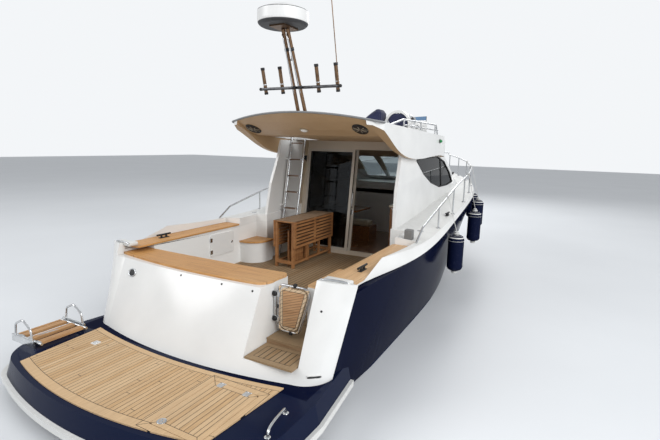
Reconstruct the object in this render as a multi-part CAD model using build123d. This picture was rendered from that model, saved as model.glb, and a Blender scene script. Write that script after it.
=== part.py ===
from build123d import *
from collections import namedtuple
from math import atan2, degrees
import os

os.makedirs("parts", exist_ok=True)

# Flybridge motor cruiser, in millimetres.
# X points to the bow, Y to port, Z up. The origin is on the centreline, at the
# waterline, below the foot of the transom.

# Heights above the waterline
platformZ = 400.0        # bathing platform deck
treadZ = 550.0           # first tread of the side passage
soleZ = 600.0            # cockpit and saloon sole
transomTopZ = 1130.0     # top of the transom moulding, below its teak cap
coamingZ = 1205.0        # top of the cockpit coamings, below their teak caps
doorHeadZ = 2440.0       # top of the saloon door opening
ceilingZ = 2560.0        # underside of the flybridge moulding over the saloon

# Hull sections: x, keel z, chine y and z, colour line y and z, sheer y and z
HullSection = namedtuple("HullSection", "x keelZ chineY chineZ lineY lineZ sheerY sheerZ")
hullSections = [
    HullSection(0, -500, 1390, -60, 1685, 1120, 1640, 1275),
    HullSection(2200, -600, 1440, -50, 1715, 1170, 1665, 1290),
    HullSection(4200, -640, 1410, 10, 1700, 1320, 1660, 1385),
    HullSection(5800, -620, 1230, 150, 1630, 1500, 1605, 1550),
    HullSection(7200, -480, 850, 390, 1420, 1620, 1405, 1665),
    HullSection(8400, -160, 420, 760, 980, 1710, 970, 1755),
    HullSection(9300, 480, 130, 1180, 450, 1790, 445, 1835),
    HullSection(9800, 1450, 22, 1690, 60, 1850, 58, 1895),
]
deckCamber = 70.0        # rise of the foredeck at the centreline
teak = 20.0              # thickness of every laid teak panel
clear = 0.3              # gap between pieces that only rest side by side

# Joint between the navy topsides and the white quarter: x and z at its foot and top
quarterJoint = ((420.0, platformZ), (600.0, 1265.0))

# Well of the cockpit and the saloon
wellAftX = 860.0
cornerX = 2980.0         # where the cockpit narrows to the saloon's width
bulkheadX = 3940.0       # foot of the saloon's aft bulkhead
saloonEndX = 6280.0
cockpitHalfY = 1300.0
saloonHalfY = 1078.0
engineBay = (1500.0, 3700.0, -140.0, 500.0)   # aft x, forward x, floor z, top z
engineBayHalfY = 930.0

# Coamings, the ledge beside the passage and the coachroof
coamingOuterY = 1590.0
coamingEndX = 2560.0
ledgeX = (640.0, 1320.0)
ledgeY = -1120.0
coachroofSections = [    # x, half-width, foot z, top z
    (6000, 1140, 1450, 1690),
    (6900, 1120, 1500, 1760),
    (7900, 800, 1600, 1835),
    (8700, 380, 1700, 1850),
]

# Locker in the port side of the cockpit, behind its door
lockerX = (1910.0, 2360.0)
lockerZ = (850.0, 1110.0)
lockerDepth = 150.0
lockerLap = 30.0         # the door laps its frame by this on every side

# Side passage through the starboard end of the transom
capThick = 25.0
capPortY = 1445.0        # port end of the transom's teak cap
passageY = (-1290.0, -745.0)
passageRiserX = 470.0    # riser between the tread and the landing

# Side gate across the passage
gateX = 600.0
gateHingeY = -800.0
gateHeight = (640.0, 1140.0)
gateTopWidth = 400.0
gateFootWidth = 260.0
gateTube = 12.5          # radius of its tube

# Bathing platform
platformAftX = -1070.0
platformHalfY = 1640.0
platformDepth = 330.0
inlayHalfY = 1240.0
railZ = 200.0            # white rub rail round the platform
railHeight = 60.0
railStand = 28.0         # the rub rail stands this proud

# Cabin
cabinFootY = 1150.0      # half-width at the side deck
cabinLowZ = 1100.0
cabinLean = 3.0          # lean of the cabin sides, in degrees
cabinWall = 45.0
cabinAftX = 2960.0       # aft edge of the side wings
cabinSideX = 6350.0      # where the sides turn into the front
cabinCornerX = 6760.0
cabinCornerY = 900.0
cabinNoseX = 7050.0
openAft = [(2000.0, 1100.0), (2000.0, 2750.0)]
wingEdge = [(2960.0, 1100.0), (2985.0, 1250.0), (3090.0, 1850.0), (3280.0, 2330.0), (3330.0, 2750.0)]
screenLine = [(4600.0, 2790.0), (5900.0, 2265.0), (7160.0, 1480.0)]
sideWindow = [(3985.0, 2282.0), (4380.0, 2050.0), (4820.0, 1880.0), (5390.0, 1765.0), (6000.0, 1760.0),
              (6480.0, 1800.0), (6180.0, 2010.0), (5760.0, 2225.0), (5290.0, 2320.0), (4450.0, 2310.0)]
screenHeight = (1830.0, 2290.0)
screenCutX = 5500.0
screenPanes = [(-330.0, 330.0), (400.0, 860.0)]   # inner and outer y of the middle and port panes

# Flybridge moulding
flyHalfY = 1165.0
flyAftX = 1990.0         # aft edge of the overhang on the centreline
flyShoulder = (2190.0, 1075.0)
flySideX = 5450.0
flyNoseX = 5950.0
flyCrown = [(1900.0, 2915.0, 2800.0), (6000.0, 2790.0, 2675.0)]   # x, middle z, side z
skirtThick = 60.0
skirtLine = [(2045.0, 2775.0), (2425.0, 2657.0), (2895.0, 2446.0), (3540.0, 2320.0), (4450.0, 2329.0),
             (5285.0, 2343.0), (5740.0, 2262.0)]
flyFront = [(5790.0, 2330.0), (5380.0, 2640.0), (5100.0, 3000.0)]
ceilingLine = [(1950.0, 2906.0), (2200.0, 2784.0), (2420.0, 2690.0), (2640.0, 2620.0), (3940.0, ceilingZ),
               (5150.0, ceilingZ), (5790.0, 2262.0)]
lipReach = 120.0         # the underside runs out to the aft edge, which is left thin
flyRailLine = [(2700.0, 2762.0), (3300.0, 2875.0), (5050.0, 2880.0), (5420.0, 2690.0)]   # x and z
flyRailInset = 85.0
flyRailRadius = 13.0
flyBarRadius = 11.0
flyPostX = [3330.0, 4150.0, 5000.0]
flyScreenHeight = 330.0
flyScreenThick = 9.0
flyScreenBow = 300.0     # the screen's middle stands this far ahead of its ends
flyWell = (3080.0, 4960.0, 2640.0)   # aft x, forward x, sole z
flyWellHalfY = 960.0
hatchX = (3100.0, 3760.0)            # ladder hatch in the overhang
hatchY = (560.0, 1030.0)

# Saloon door
doorY = (-870.0, 1015.0)
doorRake = 8.0           # lean of the bulkhead, in degrees
doorFrame = 45.0         # face width of the door's stiles and rails
doorLap = 40.0           # the parked sliding leaf shows this much past the fixed one
sillHeight = 60.0
doorSlideZ = (670.0, 2470.0)     # foot and head of the sliding leaf
trackWidth = 44.0
doorMeetY = 82.5         # free edge of the fixed leaf
bulkheadThick = 60.0
panelThick = 26.0

# Stern gear
propX = 620.0
propY = 620.0
propZ = -700.0
propRadius = 265.0
propHubRadius = 55.0
propHubLength = 150.0
propBlades = 4
shaftAngle = 11.5        # slope of the propeller shafts, in degrees
shaftRun = 1650.0
shaftRadius = 22.0

# Deck fittings and rails
tubeRadius = 14.0
railInset = 40.0         # rails stand this far inside the sheer
bowRail = [(2450.0, 0.0), (2700.0, 145.0), (3500.0, 285.0), (4700.0, 440.0), (5800.0, 450.0),
           (6900.0, 450.0), (8000.0, 450.0), (8900.0, 450.0), (9450.0, 450.0)]   # x, height above the sheer
stanchionX = [3500.0, 4450.0, 5400.0, 6300.0, 7200.0, 8000.0, 8700.0, 9350.0]
stanchionRadius = 12.0
pulpitX = 9930.0
cleatPlaces = [(1180.0, 1452.0), (4300.0, 1560.0), (8900.0, 560.0)]   # x and y
teakLaid = 12.0          # thickness of the platform's teak

# Platform hatch and boarding ladder
hatchLidX = (-850.0, -150.0)
hatchLidY = (-1130.0, -650.0)
lidThick = 30.0
lidGap = 5.5
lidLedge = 40.0          # width of the ledge that the lid rests on
lidWell = 220.0          # depth of the locker under the lid
ladderX = (-560.0, -90.0)    # aft and forward stile of the boarding ladder
ladderPivot = (1715.0, 452.0)    # y and z
ladderReach = 455.0
stepDepth = 72.0
pivotRadius = 11.0

# Flybridge ladder
flyLadderY = (735.0, 1000.0)
flyLadderFoot = (3225.0, soleZ)     # x and z
flyLadderTop = (3635.0, 2780.0)
flyLadderSteps = 7

# Mast, radome and rod rack
mastFoot = (2300.0, 2902.0)   # x and z
mastTop = (1890.0, 3880.0)
mastSpread = 55.0
mastRadius = 24.0
radomeRadius = 310.0
radomeHeight = 250.0
radomeSeam = 165.0
rackZ = 3225.0
rackHalfY = 620.0
holderRadius = 24.0
holderLength = 330.0
aerialLength = 1700.0
aerialRadius = 6.0

# Rudders and engines
rudderX = 190.0
rudderTopZ = -250.0      # top of the rudder stock, inside the hull
stockRadius = 24.0
engineX = 2600.0
engineSize = (1150.0, 620.0, 600.0)

# Steering positions
helmY = (-1060.0, -380.0)
podGap = 20.0            # between the upper helm and the forward wall of the well
podY = (-950.0, -430.0)
helmWheel = (5560.0, -700.0, 1330.0)
flyWheel = (4540.0, -690.0, 2900.0)
helmWheelRadius = 190.0
helmTilt = 30.0          # lean of each wheel's shaft, in degrees
flyTilt = 40.0
flyWheelRadius = 165.0
rimRadius = 14.0         # half the thickness of a wheel's rim
flySeatX = (4110.0, 4340.0)
flySeatY = (-915.0, -475.0)
flySeatZ = 2790.0        # top of the seat's box
flySeatArch = (2850.0, 3070.0)   # spring and crown of the hooped back
flyHoop = (38.0, 60.0)   # width and depth of the hoop
coverX = (3960.0, 4330.0)
coverY = (-460.0, -110.0)
coverTopZ = 3110.0

# Cockpit table
tableX = (2650.0, 3890.0)
tableY = (345.0, 695.0)
tableHeight = 730.0
leafDrop = 420.0
leafSlats = 8

# Saloon furniture
galleyX = (4330.0, 4880.0)
galleyInY = -560.0
galleyTopZ = 1450.0
worktop = 30.0
worktopLap = 20.0
sinkSize = (380.0, 300.0, 150.0)
benchX = (4200.0, 5500.0)       # bench along the port side
benchInY = 640.0
crossBench = (5100.0, 150.0)    # aft x and inboard y of the bench across the forward end
benchTopZ = 900.0
backTopZ = 1330.0
padThick = 110.0
saloonTableX = (4300.0, 4950.0)
saloonTableY = (70.0, 590.0)
saloonTableZ = 1300.0
helmSeatX = 5180.0
helmSeatZ = 560.0               # height of its leg
pedestal = 15.0                 # thickness of foot and seat plates

# Seat in the port forward corner of the cockpit
cornerSeatX = 2560.0
cornerSeatY = 965.0
cornerSeatZ = 925.0
cornerSeatRound = 260.0

# Foredeck
hatchCentreX = 7500.0
hatchSize = 560.0
foreHatchZ = 1842.0
frameDepth = 50.0        # height of the raised frame under the foredeck hatch

# Fenders: x and drop below the sheer
fenderPlaces = [(4000.0, 180.0), (5750.0, 200.0), (7000.0, 220.0), (7900.0, 240.0)]
fenderRadius = 120.0
fenderLength = 640.0
fenderStand = 12.0

upright = (Align.CENTER, Align.CENTER, Align.MIN)


def section(x, points):
    return Plane.YZ.offset(x) * make_face(Polyline(*points, close=True))


def mirrored(half):
    """Points of a half outline on the port side, joined with their mirror image."""
    return half + [(-y, z) for y, z in reversed(half) if y > 0]


def prism(points, plane, depth, both=False):
    return extrude(plane * make_face(Polyline(*points, close=True)), depth, both=both)


def side_prism(points, halfY):
    """A side outline of x and z, as wide as halfY each side of the centreline."""
    return prism(points, Plane.XZ, halfY, both=True)


def block(x, y, z):
    """A box between the two values of each pair."""
    size = [abs(b - a) for a, b in (x, y, z)]
    centre = [(a + b) / 2 for a, b in (x, y, z)]
    return Pos(*centre) * Box(*size)


def both_sides(shape):
    return [shape, mirror(shape, about=Plane.XZ)]


def rod(points, radius, bend):
    path = FilletPolyline(*points, radius=bend)
    return sweep(Plane(origin=path @ 0, z_dir=path % 0) * Circle(radius), path)


def bar(start, end, radius):
    """A straight round bar from one point to another."""
    run = Vector(*end) - Vector(*start)
    return Plane(origin=start, z_dir=run) * Cylinder(radius, run.length, align=upright)


def cushion(x, y, z, edge):
    shape = block(x, y, z)
    return fillet(shape.edges(), edge)


def save(name, *shapes):
    solids = [solid for shape in shapes for solid in shape.solids()]
    export_step(solids[0] if len(solids) == 1 else Compound(children=solids), f"parts/{name}.step")


def fuse_all(shapes):
    first, *others = shapes
    return first.fuse(*others) if others else first


def seat(piece, *supports):
    """Cuts the foot of a piece to the surface that it stands on."""
    for support in supports:
        piece = piece - support
    return max(piece.solids(), key=lambda solid: solid.volume)


def top_of(shape, x, y):
    """Height at which a plumb line leaves the shape."""
    return (Edge.make_line((x, y, 0), (x, y, 5000)) & shape).bounding_box().max.Z


def rake(shape):
    """Leans a piece of the aft bulkhead forward about its foot."""
    foot = Axis((bulkheadX, 0, soleZ), (0, 1, 0))
    return shape.rotate(foot, doorRake)


def hull_loft():
    return loft([
        section(s.x, mirrored([(0, s.keelZ), (s.chineY, s.chineZ), (s.lineY, s.lineZ)])) for s in hullSections])


def sheer_at(x):
    """Half-width and height of the sheer at x, between the sections on its two sides."""
    for a, b in zip(hullSections, hullSections[1:]):
        if x <= b.x:
            t = (x - a.x) / (b.x - a.x)
            return a.sheerY + t * (b.sheerY - a.sheerY), a.sheerZ + t * (b.sheerZ - a.sheerZ)


def band_face(s):
    crown = deckCamber * s.sheerY / hullSections[0].sheerY
    side = Polyline((-s.sheerY, s.sheerZ), (-s.lineY, s.lineZ), (s.lineY, s.lineZ), (s.sheerY, s.sheerZ))
    top = ThreePointArc((s.sheerY, s.sheerZ), (0, s.sheerZ + crown), (-s.sheerY, s.sheerZ))
    return Plane.YZ.offset(s.x) * make_face([side, top])


def aft_wedge():
    """All that lies above the platform deck and aft of the joint with the topsides."""
    (footX, footZ), (topX, topZ) = quarterJoint
    slope = (topX - footX) / (topZ - footZ)
    high = 3000.0
    return side_prism([(-2000, footZ), (footX, footZ), (footX + slope * (high - footZ), high), (-2000, high)], 2500)


def transom_outline(z, centre, shoulder, corner, side):
    """Plan outline whose aft face is one arc, with an arc at each quarter."""
    aft = ThreePointArc((shoulder[0], -shoulder[1], z), (centre, 0, z), (*shoulder, z))
    port = ThreePointArc((*shoulder, z), (*corner, z), (*side, z))
    back = Line((*side, z), (side[0], -side[1], z))
    return make_face([aft, port, back, mirror(port, about=Plane.XZ)])


def make_transom():
    (footX, footZ), (topX, topZ) = quarterJoint
    foot = transom_outline(footZ, 0, (150, 1250), (235, 1440), (footX, 1527))
    top = transom_outline(topZ, 440, (520, 1300), (545, 1570), (topX, 1672))
    body = loft([foot, top], ruled=True)
    locker = [(footX - 1, footZ), (wellAftX, footZ), (wellAftX, transomTopZ), (topX - 60, transomTopZ)]
    body += side_prism(locker, cockpitHalfY)
    body -= block((-100, wellAftX + 1), (passageY[1], capPortY + 5), (transomTopZ, 2000))
    body -= block((-100, wellAftX + 1), passageY, (soleZ - teak, 2000))
    body -= block((-100, passageRiserX), passageY, (treadZ - teak, 2000))
    return body - block(ledgeX, (-cockpitHalfY, ledgeY), (soleZ, 2000))


def make_hull():
    body = hull_loft() - aft_wedge()
    body -= block((0, wellAftX), (-cockpitHalfY, cockpitHalfY), (platformZ, 3000))
    body -= block((wellAftX - 1, cornerX), (-cockpitHalfY, cockpitHalfY), (soleZ - teak, 3000))
    body -= block((cornerX - 1, saloonEndX), (-saloonHalfY, saloonHalfY), (soleZ - teak, 3000))
    body += block(ledgeX, (-cockpitHalfY, ledgeY), (soleZ, transomTopZ))
    body -= block((0, wellAftX + 30), (cockpitHalfY - 1, capPortY + 5), (transomTopZ, 3000))
    body -= block(lockerX, (cockpitHalfY - 1, cockpitHalfY + lockerDepth), lockerZ)
    body -= block(engineBay[:2], (-engineBayHalfY, engineBayHalfY), engineBay[2:])
    hanging = (Align.CENTER, Align.CENTER, Align.MAX)
    bore = Pos(rudderX, propY, rudderTopZ) * Cylinder(stockRadius + clear, 400, align=hanging)
    for shape in both_sides(bore):
        body -= shape
    return body


def coachroof():
    outlines = [(x, [(y, low), (y, top - 70), (y - 80, top)]) for x, y, low, top in coachroofSections]
    return loft([section(x, mirrored(half)) for x, half in outlines])


def make_deck():
    body = loft([band_face(s) for s in hullSections]) + coachroof()
    body -= aft_wedge()
    body -= block((0, cornerX), (-cockpitHalfY, cockpitHalfY), (0, 3000))
    body -= block((cornerX - 1, saloonEndX), (-saloonHalfY, saloonHalfY), (0, 3000))
    body -= block((0, wellAftX + 30), (cockpitHalfY - 1, capPortY + 5), (transomTopZ, 3000))
    trough = block((0, coamingEndX), (0, coamingOuterY), (coamingZ, 3000))
    for shape in both_sides(trough):
        body -= shape
    return body


def cabin_plan(z, inset):
    y = cabinFootY - inset
    noseY = cabinCornerY
    sideX, cornerFrontX, noseX = cabinSideX - inset, cabinCornerX - inset, cabinNoseX - inset
    nose = ThreePointArc((cornerFrontX, noseY, z), (noseX, 0, z), (cornerFrontX, -noseY, z))
    middle = (sideX + 0.62 * (cornerFrontX - sideX), y - 0.28 * (y - noseY), z)
    corner = ThreePointArc((sideX, y, z), middle, (cornerFrontX, noseY, z))
    tail = Polyline((sideX, y, z), (cabinAftX - 400, y, z), (cabinAftX - 400, -y, z), (sideX, -y, z))
    return make_face([tail, corner, nose, mirror(corner, about=Plane.XZ)])


def cabin_profile(inset, aft):
    """Side view of the cabin: aft edges of the wings, then the line of the windscreen."""
    screen = ThreePointArc(*[(x - 0.4 * inset, z - 0.9 * inset) for x, z in screenLine])
    start, end = screen @ 0, screen @ 1
    rest = Polyline((end.X, end.Y), (end.X, cabinLowZ), *aft, (start.X, start.Y))
    return extrude(Plane.XZ * make_face([screen, rest]), 2000, both=True)


def cabin_body(inset, aft):
    return extrude(cabin_plan(cabinLowZ, inset), 1800, taper=cabinLean) & cabin_profile(inset, aft)


def side_window_cut():
    return side_prism(sideWindow, 2000)


def screen_cuts():
    """Openings of the windscreen's panes, cut along X."""
    panes = []
    for innerY, outerY in screenPanes:
        lowZ, highZ = screenHeight
        points = [(innerY, lowZ), (outerY, lowZ), (outerY - 60, highZ), (innerY, highZ)]
        panes.append(Pos(screenCutX, 0, 0) * prism(points, Plane.YZ, 2000))
    return panes + [mirror(panes[-1], about=Plane.XZ)]


def fly_plan(inset):
    y = flyHalfY - inset
    aftX, shoulderX = flyAftX + inset, flyShoulder[0] + inset
    shoulderY = flyShoulder[1] - inset
    aft = ThreePointArc((shoulderX, -shoulderY), (aftX, 0), (shoulderX, shoulderY))
    quarter = ThreePointArc((shoulderX, shoulderY), (shoulderX + 60, shoulderY + 32), (shoulderX + 170, y))
    side = Line((shoulderX + 170, y), (flySideX - inset, y))
    nose = ThreePointArc((flySideX - inset, y), (flyNoseX - inset, 0), (flySideX - inset, -y))
    edges = [aft, quarter, side, nose, mirror(side, about=Plane.XZ), mirror(quarter, about=Plane.XZ)]
    return extrude(make_face(edges), 4000)


def fly_crown():
    faces = []
    for x, middleZ, sideZ in flyCrown:
        top = ThreePointArc((-flyHalfY, sideZ), (0, middleZ), (flyHalfY, sideZ))
        sides = Polyline((flyHalfY, sideZ), (flyHalfY, 2000), (-flyHalfY, 2000), (-flyHalfY, sideZ))
        faces.append(Plane.YZ.offset(x) * make_face([top, sides]))
    return loft(faces, ruled=True)


def fly_outer():
    skirt = Spline(*skirtLine)
    aftX, aftZ = skirtLine[0]
    over = Polyline(skirtLine[-1], *flyFront, (aftX - 100, 3000), (aftX - 100, aftZ), skirtLine[0])
    profile = extrude(Plane.XZ * make_face([skirt, over]), 2000, both=True)
    return profile & fly_plan(0) & fly_crown()


def fly_cavity():
    under = side_prism([(1800, 1800), (1800, 2980), *ceilingLine, (6400, 1800)], 2000)
    walls = prism(mirrored([(flyHalfY - skirtThick, 1800), (flyHalfY - skirtThick, 2330), (flyHalfY - 210, 2990)]),
                  Plane.YZ, 6000)
    plan = fly_plan(40)
    return under & (plan + Pos(-lipReach, 0, 0) * plan) & walls


def make_flybridge():
    body = fly_outer() - fly_cavity()
    body -= block(flyWell[:2], (-flyWellHalfY, flyWellHalfY), (flyWell[2], 4000))
    return body - block(hatchX, hatchY, (2000, 4000))


def bulkhead_slab():
    return rake(block((bulkheadX, bulkheadX + bulkheadThick), (-saloonHalfY, saloonHalfY), (soleZ, 2760)))


def door_panel(x, y, z):
    """One framed leaf of the saloon door and its glass, leaned as the bulkhead is."""
    leaf = block((x, x + panelThick), y, z)
    inY, inZ = (y[0] + doorFrame, y[1] - doorFrame), (z[0] + doorFrame, z[1] - doorFrame)
    hole = block((x - 1, x + panelThick + 1), inY, inZ)
    pane = block((x + 9, x + 17), inY, inZ)
    return rake(leaf - hole), rake(pane)


def propeller(y):
    hub = Pos(propX, y, propZ) * Rot(0, 90, 0) * Cylinder(propHubRadius, propHubLength)
    hub += Pos(propX - propHubLength / 2, y, propZ) * Rot(0, -90, 0) * Cone(propHubRadius, 12, 70, align=upright)
    blades = []
    for index in range(propBlades):
        root = Plane(origin=(propX, y, propZ + propHubRadius - 12), x_dir=(1, 0, 0), z_dir=(0, 0, 1))
        low = root * Rot(0, 0, 38) * Ellipse(58, 7)
        middle = root * Pos(0, 0, 100) * Rot(0, 0, 55) * Ellipse(92, 6)
        tip = root * Pos(0, 0, propRadius - propHubRadius) * Rot(0, 0, 66) * Ellipse(34, 3)
        blade = loft([low, middle, tip])
        blades.append(blade.rotate(Axis((propX, y, propZ), (1, 0, 0)), 360 / propBlades * index))
    return fuse_all([hub, *blades]).rotate(Axis((propX, y, propZ), (0, 1, 0)), -shaftAngle)


def platform_outline(z, inset):
    y = platformHalfY - inset
    aftX = platformAftX + inset
    aft = ThreePointArc((aftX + 190, -1290, z), (aftX, 0, z), (aftX + 190, 1290, z))
    quarter = ThreePointArc((aftX + 190, 1290, z), (aftX + 335, y - 110, z), (aftX + 640, y - 12, z))
    port = [(aftX + 640, y - 12, z), (0, y, z), (780, y - 90, z)]
    side = Polyline(*port, *[(x, -out, z) for x, out, _ in reversed(port)])
    return make_face([aft, quarter, side, mirror(quarter, about=Plane.XZ)])


def lid_block(grow, z):
    """Box over the platform's hatch, grown past the lid on its four sides."""
    x = (hatchLidX[0] - grow, hatchLidX[1] + grow)
    y = (hatchLidY[0] - grow, hatchLidY[1] + grow)
    return block(x, y, z)


def make_platform(hull, transom):
    low = platformZ - platformDepth
    upper = loft([platform_outline(railZ, 0), platform_outline(platformZ, 45)], ruled=True)
    lower = loft([platform_outline(low, 150), platform_outline(railZ, 0)], ruled=True)
    body = upper + lower - hull - transom
    body = body & block((-2000, 2000), (-3000, 3000), (0, platformZ))
    locker = lid_block(-lidLedge, (platformZ - lidWell, platformZ + 1))
    rebate = lid_block(lidGap, (platformZ + teakLaid - lidThick, platformZ + 1))
    return seat(body, locker, rebate)


def teak_inlay():
    front = ThreePointArc((60, -inlayHalfY, platformZ), (-70, 0, platformZ), (60, inlayHalfY, platformZ))
    back = ThreePointArc((-815, -1165, platformZ), (-980, 0, platformZ), (-815, 1165, platformZ))
    sides = [Line((60, y, platformZ), (-815, y * 1165 / inlayHalfY, platformZ)) for y in (-inlayHalfY, inlayHalfY)]
    return extrude(make_face([front, back, *sides]), teakLaid)


def make_platform_teak():
    return teak_inlay() - lid_block(lidGap, (0, 1000))


def make_platform_hatch():
    lid = block(hatchLidX, hatchLidY, (platformZ + teakLaid - lidThick + clear, platformZ + teakLaid))
    lid = fillet(lid.edges().filter_by(Axis.Z), 30)
    ring = Pos(hatchLidX[0] + 60, hatchLidY[1] - 60, platformZ + teakLaid) * Torus(16, 3)
    return lid + ring


def make_rub_rail():
    """White rail along the platform's widest line, ending on the hull's quarters."""
    foot = railZ - railHeight / 2
    body = extrude(platform_outline(foot, -railStand), railHeight)
    hollow = extrude(platform_outline(foot - 1, 90), railHeight + 2)
    return body - hollow


def gate_outline(inset):
    """Loop of the gate in its own plane: wide above, narrow below, both lower corners rounded."""
    y, (low, high) = gateHingeY, gateHeight
    farY = y - gateTopWidth + inset
    corners = [(y - inset, high - inset), (farY, high - inset), (farY + 40, high - 150),
               (y - gateFootWidth + inset, low + inset), (y - inset, low + inset)]
    return FilletPolyline(*corners, radius=70 - inset / 3, close=True)


def make_gate():
    loop = Plane.YZ.offset(gateX) * gate_outline(gateTube)
    tube = sweep(Plane(origin=loop @ 0, z_dir=loop % 0) * Circle(gateTube), loop)
    panel = extrude(Plane.YZ.offset(gateX - 9) * make_face(gate_outline(3 * gateTube)), 18)
    low, high = gateHeight
    clips = []
    for reach, z in ((150, (high - 45, high - 8)), (120, (low + 8, low + 45))):
        y = gateHingeY - reach
        clips.append(block((gateX - 7, gateX + 7), (y - 9, y + 9), z))
    return fuse_all([tube, panel, *clips])


def make_gate_post():
    """Upright grab tube at the end of the transom, with two black arms whose collars carry the gate."""
    pinY = gateHingeY - gateTube
    low, high = gateHeight[0] + 125, gateHeight[1] - 115
    post = bar((gateX, passageY[1] - 24, low), (gateX, passageY[1] - 24, high), gateTube)
    pieces = [post]
    for z in (low, high):
        pieces.append(block((gateX - 12, gateX + 12), (pinY, passageY[1]), (z - 26, z + 26)))
        pieces.append(Pos(gateX, pinY, z) * Cylinder(20, 44))
    bore = bar((gateX, pinY, low - 50), (gateX, pinY, high + 50), gateTube + clear)
    return fuse_all(pieces) - bore


def make_transom_cap():
    """Varnished teak board on the transom, its starboard end rounded."""
    z = transomTopZ
    aft = ThreePointArc((560, capPortY, z), (428, 300, z), (452, -640, z))
    end = ThreePointArc((452, -640, z), (530, -735, z), (640, -742, z))
    tip = ThreePointArc((780, -748, z), (858, -735, z), (884, -640, z))
    front = ThreePointArc((884, -640, z), (862, 300, z), (884, capPortY, z))
    rest = [Line((640, -742, z), (780, -748, z)), Line((884, capPortY, z), (560, capPortY, z))]
    return extrude(make_face([aft, end, tip, front, *rest]), capThick)


def make_coaming_caps():
    board = block((640, coamingEndX - 15), (cockpitHalfY - 18, coamingOuterY - 10), (coamingZ, coamingZ + teak))
    pieces = both_sides(fillet(board.edges().filter_by(Axis.Z), 30))
    step = block((ledgeX[0] + 15, ledgeX[1] + 10), (-cockpitHalfY + 1, ledgeY + 12), (transomTopZ, transomTopZ + teak))
    pieces.append(fillet(step.edges().filter_by(Axis.Z), 15))
    return pieces


def make_locker_door():
    x = (lockerX[0] - lockerLap, lockerX[1] + lockerLap)
    z = (lockerZ[0] - lockerLap, lockerZ[1] + lockerLap)
    door = block(x, (cockpitHalfY - clear - 18, cockpitHalfY - clear), z)
    return fillet(door.edges().filter_by(Axis.Y), 25)


def make_cockpit_teak():
    margin = 12
    sole = block((wellAftX, cornerX), (-cockpitHalfY, cockpitHalfY), (soleZ - teak, soleZ))
    sole += block((cornerX, bulkheadX), (-saloonHalfY, saloonHalfY), (soleZ - teak, soleZ))
    landing = block((passageRiserX, wellAftX), (passageY[0] + margin, passageY[1] - margin), (soleZ - teak, soleZ))
    tread = block((125, passageRiserX - 2), (passageY[0] + margin, passageY[1] - margin), (treadZ - teak, treadZ))
    return [sole + landing, tread]


def make_corner_seat():
    """Box seat and its board, both rounded at their free corner."""
    x, y, z = cornerSeatX, cornerSeatY, cornerSeatZ
    base = block((x, cornerX), (y, cockpitHalfY), (soleZ, z))
    top = block((x - teak, cornerX), (y - teak, cockpitHalfY), (z, z + capThick))
    rounded = []
    for shape, radius in ((base, cornerSeatRound), (top, cornerSeatRound + 10)):
        free = shape.edges().filter_by(Axis.Z).sort_by_distance((x, y, z))[0]
        rounded.append(fillet(free, radius))
    return rounded


def make_boarding_ladder():
    y, z = ladderPivot
    pieces = []
    for x in ladderX:
        pieces.append(bar((x, y, z), (x, y - ladderReach, z), tubeRadius))
    for index in range(3):
        middle = y - 90 - index * 150
        pieces.append(block(ladderX, (middle - stepDepth / 2, middle + stepDepth / 2), (z - 14, z + 14)))
    pieces.append(bar((ladderX[0] - 40, y, z), (ladderX[1] + 40, y, z), pivotRadius))
    return fuse_all(pieces)


def make_ladder_brackets():
    """Two arms over the edge of the platform, bored for the ladder's pivot bar, each with a hand hoop."""
    y, z = ladderPivot
    arms = []
    for x in (ladderX[0] - 30, ladderX[1] + 30):
        arm = block((x - 8, x + 8), (y - 375, y + 22), (platformZ, z + 22))
        arm -= Pos(x, y, z) * Rot(0, 90, 0) * Cylinder(pivotRadius + 0.1, 40)
        hoop = [(x, y - 35, z), (x, y - 60, z + 150), (x, y - 200, z + 215), (x, y - 330, z + 130), (x, y - 350, z)]
        arms.append(arm + rod(hoop, 11, 55))
    return arms


def make_fly_ladder():
    (footX, footZ), (topX, topZ) = flyLadderFoot, flyLadderTop
    pieces = [bar((footX, y, footZ), (topX, y, topZ), tubeRadius) for y in flyLadderY]
    for index in range(1, flyLadderSteps + 1):
        t = index / (flyLadderSteps + 1)
        x, z = footX + t * (topX - footX), footZ + t * (topZ - footZ)
        pieces.append(block((x - 45, x + 30), flyLadderY, (z - 9, z + 9)))
    return fuse_all(pieces)


def make_mast():
    (footX, footZ), (topX, topZ) = mastFoot, mastTop
    legs = [bar((footX, y, footZ), (topX, y * 0.6, topZ), mastRadius) for y in (-mastSpread, mastSpread)]
    plate = Pos(topX - 30, 0, topZ) * Box(300, 220, 16, align=upright)
    foot = Pos(footX, 0, footZ - 15) * Box(220, 260, 22, align=upright)
    return fuse_all([*legs, plate, foot])


def make_radome():
    """Drum with a domed top: a cylinder cut by a sphere that meets its wall at the seam."""
    rise = radomeHeight - radomeSeam
    dome = (radomeRadius ** 2 + rise ** 2) / (2 * rise)
    body = Cylinder(radomeRadius, radomeHeight, align=upright) & Pos(0, 0, radomeHeight - dome) * Sphere(dome)
    body = fillet(body.edges().group_by(Axis.Z)[0], 55)
    return Pos(mastTop[0] - 50, 0, mastTop[1] + 16) * body


def make_rod_rack():
    t = (rackZ - mastFoot[1]) / (mastTop[1] - mastFoot[1])
    x = mastFoot[0] + t * (mastTop[0] - mastFoot[0]) + mastRadius + 20
    pieces = [bar((x, -rackHalfY, rackZ), (x, rackHalfY, rackZ), 19)]
    for y in (-0.9, -0.45, 0.45, 0.9):
        y *= rackHalfY
        foot = (x + 30 + holderRadius, y, rackZ - 60)
        head = (x + holderRadius - 60, y, rackZ - 60 + holderLength)
        pieces.append(bar(foot, head, holderRadius))
    pieces.append(bar((x, -rackHalfY + 30, rackZ), (x - 120, -rackHalfY + 180, rackZ + aerialLength), aerialRadius))
    return fuse_all(pieces)


def rail_corner(x, rise):
    """Point of the port bow rail at x, the rise above the sheer."""
    y, z = sheer_at(x)
    return x, y - railInset, z + rise


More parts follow.
